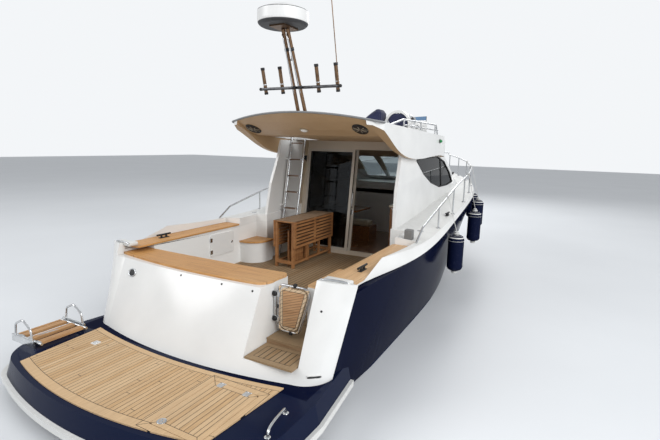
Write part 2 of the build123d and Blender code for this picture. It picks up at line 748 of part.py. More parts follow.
def rail_point(x):
    """Half-width and height of the bow rail at x, on the straight run between its bends."""
    for start, end in zip(bowRail, bowRail[1:]):
        if x <= end[0]:
            (xA, yA, zA), (xB, yB, zB) = rail_corner(*start), rail_corner(*end)
            t = (x - xA) / (xB - xA)
            return yA + t * (yB - yA), zA + t * (zB - zA)


def make_bow_rail():
    noseZ = rail_corner(9800, bowRail[-1][1])[2]
    port = [*[rail_corner(*corner) for corner in bowRail], (pulpitX - 120, 210, noseZ)]
    starboard = [(x, -y, z) for x, y, z in reversed(port)]
    return rod([*port, (pulpitX, 0, noseZ), *starboard], tubeRadius, 60)


def make_rail_posts():
    """Stanchions that carry the bow rail, each run down into the deck, which then trims its foot."""
    posts = []
    for x in stanchionX:
        y, z = rail_point(x)
        foot = sheer_at(x)[1] - 150
        posts += [bar((x, side * y, foot), (x, side * y, z), stanchionRadius) for side in (-1, 1)]
    return posts


def make_fly_rails():
    """Rail and lower bar on posts along each side; the rail's forward end bends inboard to its foot."""
    y = flyHalfY - flyRailInset
    *level, (footX, footZ) = flyRailLine
    top = rod([*[(x, y, z) for x, z in level], (footX, y - 60, footZ)], flyRailRadius, 150)
    lower = bar((flyPostX[0], y, 2800), (flyPostX[-1] + 180, y, 2790), flyBarRadius)
    posts = [bar((x, y, 2690), (x, y, 2878), flyBarRadius) for x in flyPostX]
    return both_sides(fuse_all([top, lower, *posts]))


def wheel(centre, radius, tilt):
    """Steering wheel whose shaft points aft and up by the tilt, with three spokes and a hub."""
    x, y, z = centre
    rim = Torus(radius, rimRadius) + Cylinder(3 * rimRadius, 30)
    for angle in (90, 210, 330):
        rim += Rot(0, 0, angle) * Pos(radius / 2, 0, 0) * Box(radius, 24, 10)
    return Pos(x, y, z) * Rot(0, -90 + tilt, 0) * rim


def wheel_shaft(centre, length, tilt):
    """Shaft from just behind the wheel's hub, away from its rim's plane."""
    back = Pos(0, 0, -15 - clear) * Rot(180, 0, 0) * Cylinder(18, length, align=upright)
    return Pos(*centre) * Rot(0, -90 + tilt, 0) * back


def make_helm_console():
    profile = [(5560, soleZ), (saloonEndX, soleZ), (saloonEndX, 1500), (6000, 1560), (5760, 1500),
               (5640, 1240), (5620, 1100)]
    return prism(profile, Plane.XZ.offset(-helmY[1]), helmY[1] - helmY[0])


def make_fly_pod():
    foreX, z = flyWell[1] - podGap, flyWell[2]
    profile = [(foreX - 360, z), (foreX, z), (foreX, z + 280), (foreX - 100, z + 310), (foreX - 240, z + 240),
               (foreX - 330, z + 120)]
    return prism(profile, Plane.XZ.offset(-podY[1]), podY[1] - podY[0])


def make_galley():
    """Unit along the starboard side, its worktop sunk for a sink."""
    (aft, fore), outY, topZ = galleyX, -saloonHalfY + clear, galleyTopZ + worktop
    unit = block(galleyX, (outY, galleyInY), (soleZ, galleyTopZ))
    top = block((aft - worktopLap, fore + worktopLap), (outY, galleyInY + worktopLap), (galleyTopZ, topZ))
    bowl = Pos((aft + fore) / 2 - 5, -800, topZ) * Box(*sinkSize)
    return unit + top - bowl


def make_dinette():
    outY, z = saloonHalfY - clear, (soleZ, benchTopZ)
    return block(benchX, (benchInY, outY), z) + block((crossBench[0], benchX[1]), (crossBench[1], outY), z)


def make_dinette_cushions():
    """Seat and back pads of the long bench, then the seat pad of the cross bench."""
    x, low, high = (benchX[0] + 10, benchX[1] - 10), benchTopZ + clear, benchTopZ + padThick
    return [cushion(x, (benchInY + 10, benchInY + 310), (low, high), 25),
            cushion(x, (benchInY + 320, saloonHalfY - 12), (low, backTopZ), 25),
            cushion((crossBench[0] + 10, benchX[1] - 130), (crossBench[1] + 10, benchInY), (low, high), 25)]


def make_saloon_table():
    place = Pos(sum(saloonTableX) / 2 - 5, sum(saloonTableY) / 2, soleZ)
    leg = place * Cylinder(45, saloonTableZ - soleZ, align=upright)
    foot = place * Cylinder(150, pedestal, align=upright)
    return leg + foot + block(saloonTableX, saloonTableY, (saloonTableZ, saloonTableZ + worktop))


def make_helm_seat():
    place = Pos(helmSeatX, sum(helmY) / 2, soleZ)
    leg = place * Cylinder(150, pedestal, align=upright) + place * Cylinder(32, helmSeatZ, align=upright)
    return leg + place * Pos(0, 0, helmSeatZ) * Box(300, 360, pedestal, align=upright)


def make_helm_cushions():
    x, y = helmSeatX, (sum(helmY) / 2 - 230, sum(helmY) / 2 + 230)
    z = soleZ + helmSeatZ + pedestal + clear
    return [cushion((x - 210, x + 210), y, (z, z + padThick), 30),
            cushion((x - 240, x - 140), y, (z + padThick + clear, z + padThick + 450), 30)]


def make_cockpit_table():
    """Gateleg table folded shut: narrow top, slatted leaves hanging both sides, legs and stretchers."""
    (aft, fore), (low, high), top = tableX, tableY, soleZ + tableHeight
    frame = [block((aft, fore), (low, high), (top - 20, top))]
    for x in (aft + 12, fore - 52):
        for y in (low + 4, high - 44):
            frame.append(block((x, x + 40), (y, y + 40), (soleZ, top - 19)))
        frame.append(block((x, x + 40), (low + 30, high - 30), (soleZ + 60, soleZ + 105)))
    for y in (low + 8, high - 40):
        frame.append(block((aft + 30, fore - 30), (y, y + 32), (soleZ + 60, soleZ + 92)))
        frame.append(block((aft + 30, fore - 30), (y, y + 32), (top - 90, top - 19)))
        for x in (aft + 400, aft + 800):
            frame.append(block((x, x + 34), (y, y + 32), (soleZ + 90, top - 60)))
    return fuse_all(frame)


def make_table_leaves():
    (aft, fore), (low, high), top = tableX, tableY, soleZ + tableHeight
    slat = leafDrop / leafSlats
    leaves = []
    stiles = (aft, (aft + fore) / 2 - 27, fore - 55)
    for side, y in ((-1, low), (1, high)):
        pieces = [block((x, x + 55), (y, y + side * 18), (top - leafDrop, top - 2)) for x in stiles]
        for index in range(leafSlats):
            z = top - 2 - index * slat
            pieces.append(block((aft, fore), (y, y + side * 18), (z - slat + 8, z)))
        leaves.append(Pos(0, side * clear, 0) * fuse_all(pieces))
    return leaves


def make_folded_chairs():
    """Two slatted chairs folded flat and stood on edge between the table's legs."""
    x, z = tableX[0] + 130, soleZ
    chairs = []
    for y in (tableY[0] + 75, tableY[0] + 165):
        pieces = [block((stile, stile + 30), (y, y + 26), (z, z + 560)) for stile in (x, x + 430)]
        pieces += [block((x, x + 460), (y, y + 26), (z + h, z + h + 30)) for h in (20, 270, 530)]
        slats = [x + 50 + index * 62 for index in range(6)]
        pieces += [block((slat, slat + 34), (y + 4, y + 22), (z + 25, z + 540)) for slat in slats]
        chairs.append(fuse_all(pieces))
    return chairs


def make_fore_hatch():
    lid = Box(hatchSize, hatchSize, 30, align=upright)
    return hatch_place(clear) * fillet(lid.edges().filter_by(Axis.Z), 60)


def make_cleats(deck):
    """Horn cleats: the aft pair on the coaming caps, the others on the deck."""
    pieces = []
    for x, y in cleatPlaces:
        z = coamingZ + teak if x < coamingEndX else top_of(deck, x, y)
        horn = bar((x - 110, y, z + 42), (x + 110, y, z + 42), 12)
        for foot in (-40, 40):
            horn += Pos(x + foot, y, z) * Cylinder(13, 44, align=upright)
        horn += Pos(x, y, z) * Box(150, 44, 6, align=upright)
        pieces += both_sides(horn - deck)
    return pieces


def make_anchor():
    """Bow roller channel with a plough anchor drawn up into it."""
    nose = hullSections[-1].x
    z = sheer_at(nose)[1] + 22
    channel = block((nose - 420, nose + 130), (-60, 60), (z - 40, z + 4))
    for side in (-1, 1):
        channel += block((nose - 60, nose + 130), (side * 60, side * 50), (z, z + 75))
    roller = Pos(nose + 90, 0, z + 20) * Rot(90, 0, 0) * Cylinder(24, 110)
    shank = bar((nose - 380, 0, z + 58), (nose + 150, 0, z + 58), 14)
    outline = [(nose + 125, z + 70), (nose + 175, z + 40), (nose + 165, z - 90), (nose + 70, z - 240),
               (nose + 150, z - 20)]
    fluke = side_prism(outline, 45)
    stop = block((nose - 390, nose - 350), (-12, 12), (z, z + 60))
    return fuse_all([channel, roller, shank, fluke, stop])


def make_engines():
    size = engineSize
    return [Pos(engineX, y, engineBay[2]) * Box(*size, align=upright) for y in (-propY + 60, propY - 60)]


def make_shafts():
    pieces = []
    for y in (-propY, propY):
        line = Pos(propX, y, propZ) * Rot(0, 90 - shaftAngle, 0)
        shaft = line * Pos(0, 0, propHubLength / 2 + clear) * Cylinder(shaftRadius, shaftRun, align=upright)
        barrel = line * Pos(0, 0, 190) * Cylinder(42, 150)
        strut = [(propX + 150, propZ + 40), (propX + 240, propZ + 50), (propX + 300, -250), (propX + 180, -250)]
        blade = prism(strut, Plane.XZ.offset(-y), 9, both=True)
        pieces.append(fuse_all([shaft, barrel, blade]))
    return pieces


def rudder(y):
    outline = [(rudderX - 130, -440), (rudderX + 210, -440), (rudderX + 190, -930), (rudderX - 90, -930)]
    blade = prism(outline, Plane.XZ.offset(-y), 14, both=True)
    blade = fillet(blade.edges().filter_by(Axis.Y), 40)
    return blade + Pos(rudderX, y, -445) * Cylinder(stockRadius, rudderTopZ - clear + 445, align=upright)


def make_fenders():
    bodies = []
    r, foot = fenderRadius, -fenderLength
    lower = ThreePointArc((40, foot + 40), (r - 8, foot + 75), (r, foot + 130))
    upper = ThreePointArc((r, -130), (r - 8, -75), (34, -40))
    closing = Polyline((34, -40), (34, 0), (0, 0), (0, foot), (40, foot), (40, foot + 40))
    fender = revolve(Plane.XZ * make_face([lower, Line((r, foot + 130), (r, -130)), upper, closing]), Axis.Z)
    for x, drop in fenderPlaces:
        y, z = sheer_at(x)
        bodies.append(Pos(x, -(y + fenderStand + fenderRadius), z - drop) * fender)
    return bodies


def make_fender_lines():
    lines = []
    for x, drop in fenderPlaces:
        y, z = sheer_at(x)
        railY, railTopZ = rail_point(x)
        top = (x, -railY - tubeRadius, railTopZ)
        edge = (x, -(y + fenderStand + fenderRadius), z - drop)
        lines.append(bar(edge, top, 5))
    return lines


def hatch_place(lift):
    """Plane of the foredeck hatch, tilted as the coachroof is."""
    (_, _, _, topA), (_, _, _, topB) = coachroofSections[1:3]
    run = coachroofSections[2][0] - coachroofSections[1][0]
    slope = degrees(atan2(topB - topA, run))
    return Pos(hatchCentreX, 0, foreHatchZ) * Rot(0, -slope, 0) * Pos(0, 0, lift)


def shell_glass():
    """Thin shell inside the cabin's outer face, from which the panes are cut."""
    return cabin_body(14, wingEdge) - cabin_body(22, openAft)


def make_cabin(hull, deck, flybridge):
    body = cabin_body(0, wingEdge) - cabin_body(cabinWall, openAft) - side_window_cut()
    body -= block((cabinAftX, cabinNoseX), (-cabinFootY, cabinFootY), (ceilingZ, 3000))
    for cut in screen_cuts():
        body -= cut
    return seat(body, hull, deck, flybridge)


def make_cabin_glass():
    shell = shell_glass()
    panes = [shell & side_window_cut(), *[shell & cut for cut in screen_cuts()]]
    return [solid for pane in panes for solid in pane.solids() if solid.volume > 1e5]


def make_bulkhead(flybridge, sole):
    """Raked bulkhead with the opening of the saloon door and the track that the door slides on."""
    x = (bulkheadX - 5, bulkheadX + bulkheadThick + 5)
    walls = cabin_body(0, openAft) - cabin_body(cabinWall, openAft)
    body = bulkhead_slab() - rake(block(x, doorY, (soleZ + sillHeight, doorHeadZ)))
    body += rake(block((bulkheadX + bulkheadThick - 1, bulkheadX + bulkheadThick + trackWidth), doorY,
                       (soleZ + 10, doorSlideZ[0] - clear)))
    return seat(body, walls, flybridge, sole)


def make_fly_screen():
    """Bowed screen round the forward end of the well, its foot let into the moulding."""
    x, y, t = flyWell[1] + 30, flyWellHalfY - 40, flyScreenThick
    outside = ThreePointArc((x, -y), (x + flyScreenBow, 0), (x, y))
    inside = ThreePointArc((x, -y + t), (x + flyScreenBow - t, 0), (x, y - t))
    ends = [Line((x, s * y), (x, s * (y - t))) for s in (-1, 1)]
    return Pos(0, 0, flyWell[2] + 60) * extrude(make_face([outside, inside, *ends]), flyScreenHeight)


def hoop_face(inset):
    """Arch of the seat back, seen from astern, drawn in from its outer edge."""
    low, high = flySeatY[0] + inset, flySeatY[1] - inset
    spring, top = flySeatArch[0], flySeatArch[1] - inset
    middle = (low + high) / 2
    arch = ThreePointArc((low, spring), (middle, top), (high, spring))
    foot = flyWell[2] if inset == 0 else flySeatZ + clear
    legs = Polyline((high, spring), (high, foot), (low, foot), (low, spring))
    return Plane.YZ * make_face([arch, legs])


def make_fly_seat():
    """Moulded box under a hooped back."""
    hoop = extrude(hoop_face(0), flyHoop[1]) - extrude(hoop_face(flyHoop[0]), flyHoop[1])
    box = block((flySeatX[0], flySeatX[1]), (flySeatY[0] + 10, flySeatY[1] - 10), (flyWell[2], flySeatZ))
    return Pos(flySeatX[0], 0, 0) * hoop + box


def make_fly_cushions():
    """Back pad inside the hoop and seat pad in front of it."""
    back = extrude(hoop_face(flyHoop[0] + clear), flyHoop[1] - 10)
    back = Pos(flySeatX[0] + 5, 0, 0) * fillet(back.edges().filter_by(Plane.YZ), 12)
    x = (flySeatX[0] + flyHoop[1] + clear, flySeatX[1])
    y = (flySeatY[0] + 20, flySeatY[1] - 20)
    return [back, cushion(x, y, (flySeatZ + clear, flySeatZ + 70), 20)]


def make_fly_cover():
    """Canvas cover drawn over the seat beside the upper helm."""
    return cushion(coverX, coverY, (flyWell[2] + clear, coverTopZ), 95)


fixedFrame, fixedPane = door_panel(bulkheadX + 8, (doorMeetY, doorY[1]), (soleZ + sillHeight, doorHeadZ))
slidingFrame, slidingPane = door_panel(bulkheadX + bulkheadThick + 6, (doorMeetY - doorLap, doorY[1]), doorSlideZ)

hull = make_hull()
deck = seat(make_deck(), hull)
deck += hatch_place(-frameDepth) * Box(hatchSize + 70, hatchSize + 70, frameDepth, align=upright)
transom = make_transom()
cockpitTeak = make_cockpit_teak()
platform = make_platform(hull, transom)
flybridge = make_flybridge()
saloonSole = block((bulkheadX, saloonEndX), (-saloonHalfY, saloonHalfY), (soleZ - teak, soleZ))
cabin = make_cabin(hull, deck, flybridge)
bulkhead = make_bulkhead(flybridge, saloonSole)
seatBase, seatTop = make_corner_seat()
console = make_helm_console()
pod = make_fly_pod()
bowRailTube = seat(make_bow_rail(), deck, hull)

save("hull", hull)
save("deck", deck)
save("transom", transom)
save("bathing_platform", platform)
save("rub_rail", seat(make_rub_rail(), platform, hull))
save("platform_teak", make_platform_teak())
save("cockpit_teak", *cockpitTeak)
save("teak_caps", make_transom_cap(), *make_coaming_caps(), seatTop)
save("corner_seat", seatBase)
save("cabin", cabin)
save("cabin_glass", *make_cabin_glass())
save("flybridge", flybridge)
save("bulkhead", bulkhead)
save("fixed_panel", fixedFrame)
save("fixed_pane", fixedPane)
save("sliding_door", slidingFrame)
save("sliding_pane", slidingPane)
save("flybridge_ladder", make_fly_ladder() - cockpitTeak[0])
save("mast", seat(make_mast(), flybridge))
save("radome", make_radome())
save("rod_rack", make_rod_rack() - make_mast())
save("bow_rail", bowRailTube)
save("rail_posts", *[seat(post, deck, hull, bowRailTube) for post in make_rail_posts()])
save("flybridge_rails", *[rail - flybridge for rail in make_fly_rails()])
save("helm_pod", pod)
save("flybridge_screen", seat(make_fly_screen(), flybridge))
save("bench_cover", make_fly_cover())
save("flybridge_seat", make_fly_seat())
save("flybridge_cushions", *make_fly_cushions())
save("helm_console", console)
save("helm_seat", make_helm_seat())
save("helm_cushions", *make_helm_cushions())
save("galley", make_galley())
save("dinette", make_dinette())
save("dinette_cushions", *make_dinette_cushions())
save("saloon_table", make_saloon_table())
save("saloon_sole", saloonSole)
save("cockpit_table", make_cockpit_table())
save("table_leaves", *make_table_leaves())
save("folded_chairs", *make_folded_chairs())
save("gate_post", make_gate_post())
save("ladder_brackets", *make_ladder_brackets())
save("wheel_shafts", wheel_shaft(helmWheel, 260, helmTilt) - console, wheel_shaft(flyWheel, 260, flyTilt) - pod)
save("cleats", *make_cleats(deck))
save("anchor", seat(make_anchor(), deck, hull))
save("engines", *make_engines())
save("shafts", *[seat(piece, hull) for piece in make_shafts()])
fenders = make_fenders()
save("fenders", *fenders)
save("fender_lines", *[seat(line, bowRailTube, *fenders) for line in make_fender_lines()])
save("locker_door", make_locker_door())
save("side_gate", make_gate())
save("platform_hatch", make_platform_hatch())
save("boarding_ladder", make_boarding_ladder())
save("fore_hatch", make_fore_hatch())
save("helm_wheel", wheel(helmWheel, helmWheelRadius, helmTilt))
save("flybridge_wheel", wheel(flyWheel, flyWheelRadius, flyTilt))
for side, y in (("port", propY), ("starboard", -propY)):
    save(f"propeller_{side}", propeller(y))
    save(f"rudder_{side}", rudder(y))
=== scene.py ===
import math

import bpy
import numpy as np
from mathutils import Matrix, Vector


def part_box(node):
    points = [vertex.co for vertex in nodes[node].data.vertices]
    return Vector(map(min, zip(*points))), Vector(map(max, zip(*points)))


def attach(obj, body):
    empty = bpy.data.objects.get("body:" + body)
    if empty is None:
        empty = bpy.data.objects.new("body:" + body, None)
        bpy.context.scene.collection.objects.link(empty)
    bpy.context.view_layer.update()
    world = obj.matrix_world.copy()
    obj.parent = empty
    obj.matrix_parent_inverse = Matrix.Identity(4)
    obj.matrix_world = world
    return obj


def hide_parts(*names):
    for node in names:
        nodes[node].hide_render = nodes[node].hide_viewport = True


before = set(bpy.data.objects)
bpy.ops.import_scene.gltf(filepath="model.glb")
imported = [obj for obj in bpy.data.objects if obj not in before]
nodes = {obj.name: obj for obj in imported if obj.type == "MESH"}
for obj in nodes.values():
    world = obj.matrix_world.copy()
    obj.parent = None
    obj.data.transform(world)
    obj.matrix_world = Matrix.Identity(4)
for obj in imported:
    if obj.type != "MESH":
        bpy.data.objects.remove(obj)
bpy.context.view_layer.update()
bpy.context.scene.view_settings.view_transform = "Standard"


# shader maths: arithmetic on a Value adds Math nodes
class Value:
    def __init__(self, tree, socket):
        self.tree = tree
        self.socket = socket

    def math(self, operation, *others, clamp=False):
        node = self.tree.nodes.new("ShaderNodeMath")
        node.operation = operation
        node.use_clamp = clamp
        for place, item in zip(node.inputs, (self, *others)):
            if isinstance(item, Value):
                self.tree.links.new(item.socket, place)
            else:
                place.default_value = item
        return Value(self.tree, node.outputs[0])

    def __add__(self, other): return self.math("ADD", other)
    def __radd__(self, other): return self.math("ADD", other)
    def __sub__(self, other): return self.math("SUBTRACT", other)
    def __rsub__(self, other): return (self * -1).math("ADD", other)
    def __mul__(self, other): return self.math("MULTIPLY", other)
    def __rmul__(self, other): return self.math("MULTIPLY", other)
    def __truediv__(self, other): return self.math("DIVIDE", other)
    def __gt__(self, other): return self.math("GREATER_THAN", other)
    def __lt__(self, other): return self.math("LESS_THAN", other)
    def __abs__(self): return self.math("ABSOLUTE")
    def floor(self): return self.math("FLOOR")
    def fract(self): return self.math("FRACT")
    def sin(self): return self.math("SINE")
    def least(self, other): return self.math("MINIMUM", other)
    def most(self, other): return self.math("MAXIMUM", other)

    # 0 below low, 1 above high, straight between
    def ramp(self, low, high): return ((self - low) / (high - low)).math("ADD", 0, clamp=True)

    # 1 between low and high, 0 elsewhere
    def within(self, low, high): return (self > low) * (self < high)

    # how far each repeat is from its middle, 0 to 0.5
    def offMiddle(self): return abs(self.fract() - 0.5)

    # 1 on a thin line at a place
    def line(self, place, half): return abs(self - place) < half


# a colour made darker or lighter by a share
def toned(colour, share):
    return tuple(share * part for part in colour)


class Finish:
    def __init__(self, name, **fixed):
        self.material = bpy.data.materials.new(name)
        self.material.use_nodes = True
        self.tree = self.material.node_tree
        self.shader = self.tree.nodes["Principled BSDF"]
        for label, amount in fixed.items():
            self.shader.inputs[label.replace("_", " ")].default_value = amount
        self.place = self.add("ShaderNodeTexCoord", out="Object")

    # any node: settings are set first, then the values or links of its sockets
    def add(self, kind, settings=None, inputs=None, out=0):
        node = self.tree.nodes.new(kind)
        for label, amount in (settings or {}).items():
            setattr(node, label, amount)
        for label, amount in (inputs or {}).items():
            if isinstance(amount, Value):
                self.tree.links.new(amount.socket, node.inputs[label])
            else:
                node.inputs[label].default_value = amount
        return Value(self.tree, node.outputs[out])

    def axes(self, vector=None):
        parts = self.add("ShaderNodeSeparateXYZ", inputs={0: vector or self.place})
        outputs = parts.socket.node.outputs
        return [Value(self.tree, outputs[index]) for index in range(3)]

    def vector(self, x, y, z):
        return self.add("ShaderNodeCombineXYZ", inputs={0: x, 1: y, 2: z})

    def noise(self, scale, detail=3.0, roughness=0.5, vector=None):
        return self.add("ShaderNodeTexNoise", inputs={
            "Vector": vector or self.place, "Scale": scale, "Detail": detail, "Roughness": roughness})

    def random(self, number):
        return self.add("ShaderNodeTexWhiteNoise", {"noise_dimensions": "1D"}, {"W": number})

    def mix(self, amount, first, second):
        colour = [(*item, 1) if isinstance(item, tuple) else item for item in (first, second)]
        return self.add("ShaderNodeMix", {"data_type": "RGBA"}, {0: amount, 6: colour[0], 7: colour[1]}, 2)

    # a colour with soft darker patches, where a noise is low
    def patchy(self, cloud, colour, share=0.90, low=0.3, high=0.75):
        return self.mix(cloud.ramp(low, high), toned(colour, share), colour)

    # fibres: a noise stretched by a scale along each axis
    def fibres(self, places, scales, detail=6, roughness=0.6):
        stretched = [place * scale for place, scale in zip(places, scales)]
        return self.noise(1.0, detail, roughness, self.vector(*stretched))

    # moulded non-slip: diamonds where two sets of ribs cross, "ribs" to a metre
    def diamonds(self, x, y, ribs=48):
        first, second = (((way * ribs).offMiddle() * 2).ramp(0.15, 0.45) for way in (x + y, x - y))
        return first * second

    def facing(self):
        return self.axes(self.add("ShaderNodeNewGeometry", out="True Normal"))

    def feed(self, label, value):
        self.tree.links.new(value.socket, self.shader.inputs[label])
        return self

    def bump(self, height, depth, strength=1.0):
        self.feed("Normal", self.add("ShaderNodeBump", inputs={
            "Strength": strength, "Distance": depth, "Height": height}))
        return self


navy = (0.008, 0.013, 0.038)
hullNavy = (0.004, 0.0065, 0.025)
white = (0.80, 0.80, 0.785)
antifouling = (0.012, 0.018, 0.045)


# gelcoat: clouded very slightly, faint dull patches and dust, a fine orange peel
def gelcoat(name, colour, shine=0.12, bend=1.45):
    coat = Finish(name, IOR=bend)
    cloud = coat.noise(1.7, 4)
    dust = coat.noise(38.0, 5, 0.65)
    coat.feed("Base Color", coat.patchy(cloud, colour))
    coat.feed("Roughness", shine + 0.10 * cloud.ramp(0.4, 0.8) + 0.08 * dust.ramp(0.5, 0.8))
    coat.bump(dust, 0.0004, 0.35)
    return coat


# white parts inside the hull, in metres: x from and to, half-width, lowest z
hullInsides = ((0.2, 3.99, 1.3008, 0.55), (3.9, 6.29, 1.085, 0.55), (0.2, 1.0, 1.58, 0.95))
lockerRecess = {"x": (1.895, 2.375), "y": (1.2, 1.47), "z": (0.84, 1.12)}
hullPaintLines = {"bottom": (0.035, 0.045), "saltTop": 0.7}


# topsides navy, bottom paint below the waterline, white inside the cockpit and saloon
def hullPaint():
    coat = Finish("hullPaint", IOR=1.05, Specular_IOR_Level=0.35)
    x, y, z = coat.axes()
    cloud = coat.noise(1.3, 4)
    dust = coat.noise(30.0, 5, 0.65)
    inside = x.within(*lockerRecess["x"]) * y.within(*lockerRecess["y"]) * z.within(*lockerRecess["z"])
    for aft, fore, halfY, foot in hullInsides:
        inside = inside.most((abs(y) < halfY) * (z > foot) * x.within(aft, fore))
    wet = 1 - (z + 0.01 * cloud).ramp(*hullPaintLines["bottom"])
    streaks = coat.fibres((x, y, z), (9, 9, 0.9), 4)
    salt = streaks.ramp(0.55, 0.8) * (1 - z.ramp(0.0, hullPaintLines["saltTop"])) * 0.10
    clean = coat.patchy(cloud, hullNavy, 0.8, 0.3, 0.8)
    outside = coat.mix(salt, clean, (0.16, 0.19, 0.23))
    outside = coat.mix(wet, outside, antifouling)
    coat.feed("Base Color", coat.mix(inside, outside, white))
    coat.feed("Roughness", 0.13 + 0.06 * dust.ramp(0.45, 0.8) + 0.10 * inside + 0.40 * wet)
    coat.bump(dust, 0.0003, 0.3)
    return coat


# white deck: moulded diamond non-slip on its level parts, smooth elsewhere
def deckCoat(name):
    coat = Finish(name)
    x, y, z = coat.axes()
    level = coat.facing()[2].ramp(0.93, 0.97)
    cloud = coat.noise(2.1, 4)
    dirt = coat.noise(9.0, 6, 0.7)
    grip = coat.mix(dirt.ramp(0.35, 0.75), (0.66, 0.66, 0.64), (0.74, 0.74, 0.72))
    smooth = coat.mix(cloud.ramp(0.3, 0.7), (0.74, 0.74, 0.725), white)
    coat.feed("Base Color", coat.mix(level * 0.75, smooth, grip))
    coat.feed("Roughness", 0.14 + 0.42 * level + 0.08 * cloud)
    coat.bump(coat.diamonds(x, y) * level, 0.0012, 0.7)
    return coat


# laid teak as seen from above, in metres and linear colours
laidTeak = {"light": (0.60, 0.40, 0.215), "dark": (0.39, 0.235, 0.11), "pale": (0.66, 0.50, 0.32),
            "weathered": (0.45, 0.33, 0.21), "caulk": (0.016, 0.014, 0.012), "plankLength": 1.9}
caulkHalf = 0.0022   # half the line between border boards
mitreHalf = 0.0028


# planks run along x; margins gives a mask of border boards and one of their caulk lines; tone scales the plank colours,
# and the sole's low tone is painted shade
def teakDeck(name, margins, width, caulk=0.0045, tone=1.0):
    wood = Finish(name, Specular_IOR_Level=0.3)
    x, y, z = wood.axes()
    lane = y / width
    shade = wood.random(lane.floor() + 0.5)
    fromSeam = (0.5 - lane.offMiddle()) * width
    seam = 1 - fromSeam.ramp(caulk * 0.38, caulk * 0.62)
    length = laidTeak["plankLength"]
    butt = 1 - (((x + shade * 3.1) / length).offMiddle() * length).ramp(0.0016, 0.003)
    board, line = margins(x, y)
    seam = (seam.most(butt) * (1 - board)).most(line)
    shade = shade * (1 - board) + board * 0.75
    grain = wood.fibres((x + shade * 8, y, z), (5, 95, 95), roughness=0.62)
    pores = wood.fibres((x, y, z), (60, 900, 900), 2, 0.5)
    weather = wood.noise(2.3, 5, 0.6)
    # tone below 1 darkens the teak: on the cockpit sole it is painted shade
    plank = wood.mix(grain.ramp(0.30, 0.70), toned(laidTeak["dark"], tone), toned(laidTeak["light"], tone))
    plank = wood.mix(shade * 0.45, plank, toned(laidTeak["pale"], tone))
    plank = wood.mix(weather.ramp(0.45, 0.8) * 0.35, plank, toned(laidTeak["weathered"], tone))
    wood.feed("Base Color", wood.mix(seam, plank, laidTeak["caulk"]))
    wood.feed("Roughness", 0.62 - 0.14 * seam + 0.14 * grain)
    wood.bump(grain * 0.35 + pores * 0.25 - 1.0 * seam, 0.0011, 0.8)
    return wood


hatchLid = {"x": -0.5, "y": -0.89, "halfX": 0.35, "halfY": 0.24, "gap": 0.0055, "board": 0.055}
platformBoards = {"aftX": -0.980, "aftBow": 0.1216, "frontX": -0.070, "frontBow": 0.0845, "sideY": 1.196,
                  "sideFlare": 0.045, "aft": 0.085, "front": 0.062, "hatch": 0.062}
soleBoards = {"halfY": 1.3, "aftX": 0.86, "foreX": 3.94, "treadX": 0.2965, "treadHalfX": 0.1715, "treadY": -1.0175,
              "treadHalfY": 0.2605, "treadForeX": 0.8595, "board": 0.06}


# how far a point lies outside the hatch, along x and along y, and its mitre lines
def fromHatch(x, y, gap=0.0):
    alongX = abs(x - hatchLid["x"]) - (hatchLid["halfX"] + gap)
    alongY = abs(y - hatchLid["y"]) - (hatchLid["halfY"] + gap)
    return alongX.most(alongY), abs(alongX - alongY) < mitreHalf


# the platform's boards: both ends follow curved edges, x = end + bow * y * y, and a frame goes round the hatch
def platformMargins(x, y):
    size = platformBoards
    fromAft = x - size["aftX"] - size["aftBow"] * y * y
    fromFront = size["frontX"] - x + size["frontBow"] * y * y
    ends = (fromAft < size["aft"]).most(fromFront < size["front"])
    endLine = fromAft.line(size["aft"], caulkHalf).most(fromFront.line(size["front"], caulkHalf))
    around, mitre = fromHatch(x, y, hatchLid["gap"])
    frameBoard = around < size["hatch"]
    beyondSide = abs(y) > size["sideY"] + size["sideFlare"] * x
    board = ends.most(frameBoard).most(beyondSide)
    return board, endLine.most(around.line(size["hatch"], caulkHalf)).most(mitre * frameBoard).least(1)


# the hatch lid: a mitred frame round its planks
def lidMargins(x, y):
    edge, mitre = fromHatch(x, y)
    board = edge > -hatchLid["board"]
    return board, edge.line(-hatchLid["board"], caulkHalf).most(mitre * board)


# cockpit sole and the landing aft of it: a king board round the edge of each
def soleMargins(x, y):
    size = soleBoards
    sole = (abs(y) - size["halfY"]).most(x - size["foreX"]).most(size["aftX"] - x)
    tread = (abs(y - size["treadY"]) - size["treadHalfY"]).most(abs(x - size["treadX"]) - size["treadHalfX"])
    onTread = x < size["treadForeX"]
    edge = sole * (1 - onTread) + tread * onTread
    return edge > -size["board"], edge.line(-size["board"], caulkHalf)


cabinWood = {"deep": (0.17, 0.065, 0.025), "bright": (0.36, 0.165, 0.065), "seam": (0.03, 0.015, 0.008),
             "boardWidth": 0.145, "boardLength": 9.0}


# varnished wood: long straight grain along x under a thick clear coat
def varnish(name):
    wood = Finish(name, Coat_Weight=0.85, Coat_Roughness=0.06, Specular_IOR_Level=0.4)
    x, y, z = wood.axes()
    lane = y / cabinWood["boardWidth"]
    offset = wood.random(lane.floor() + 3.5)
    sway = wood.noise(1.4, 2) * 0.05
    figure = wood.noise(1.0, 6, 0.6, wood.vector(x * 2.2 + offset * 9, (y + sway) * 46, z * 46))
    pores = wood.fibres((x, y, z), (30, 700, 700), 3)
    butt = ((x + offset) / cabinWood["boardLength"]).offMiddle() > 0.4988
    seam = (lane.offMiddle() > 0.492).most(butt)
    colour = wood.mix(figure.ramp(0.32, 0.68), cabinWood["deep"], cabinWood["bright"])
    colour = wood.mix(pores.ramp(0.55, 0.75) * 0.45, colour, toned(cabinWood["deep"], 0.5))
    wood.feed("Base Color", wood.mix(seam * 0.7, colour, cabinWood["seam"]))
    wood.feed("Roughness", 0.22 + 0.16 * figure)
    wood.bump(pores * -0.3 - seam * 0.6, 0.0005, 0.5)
    return wood
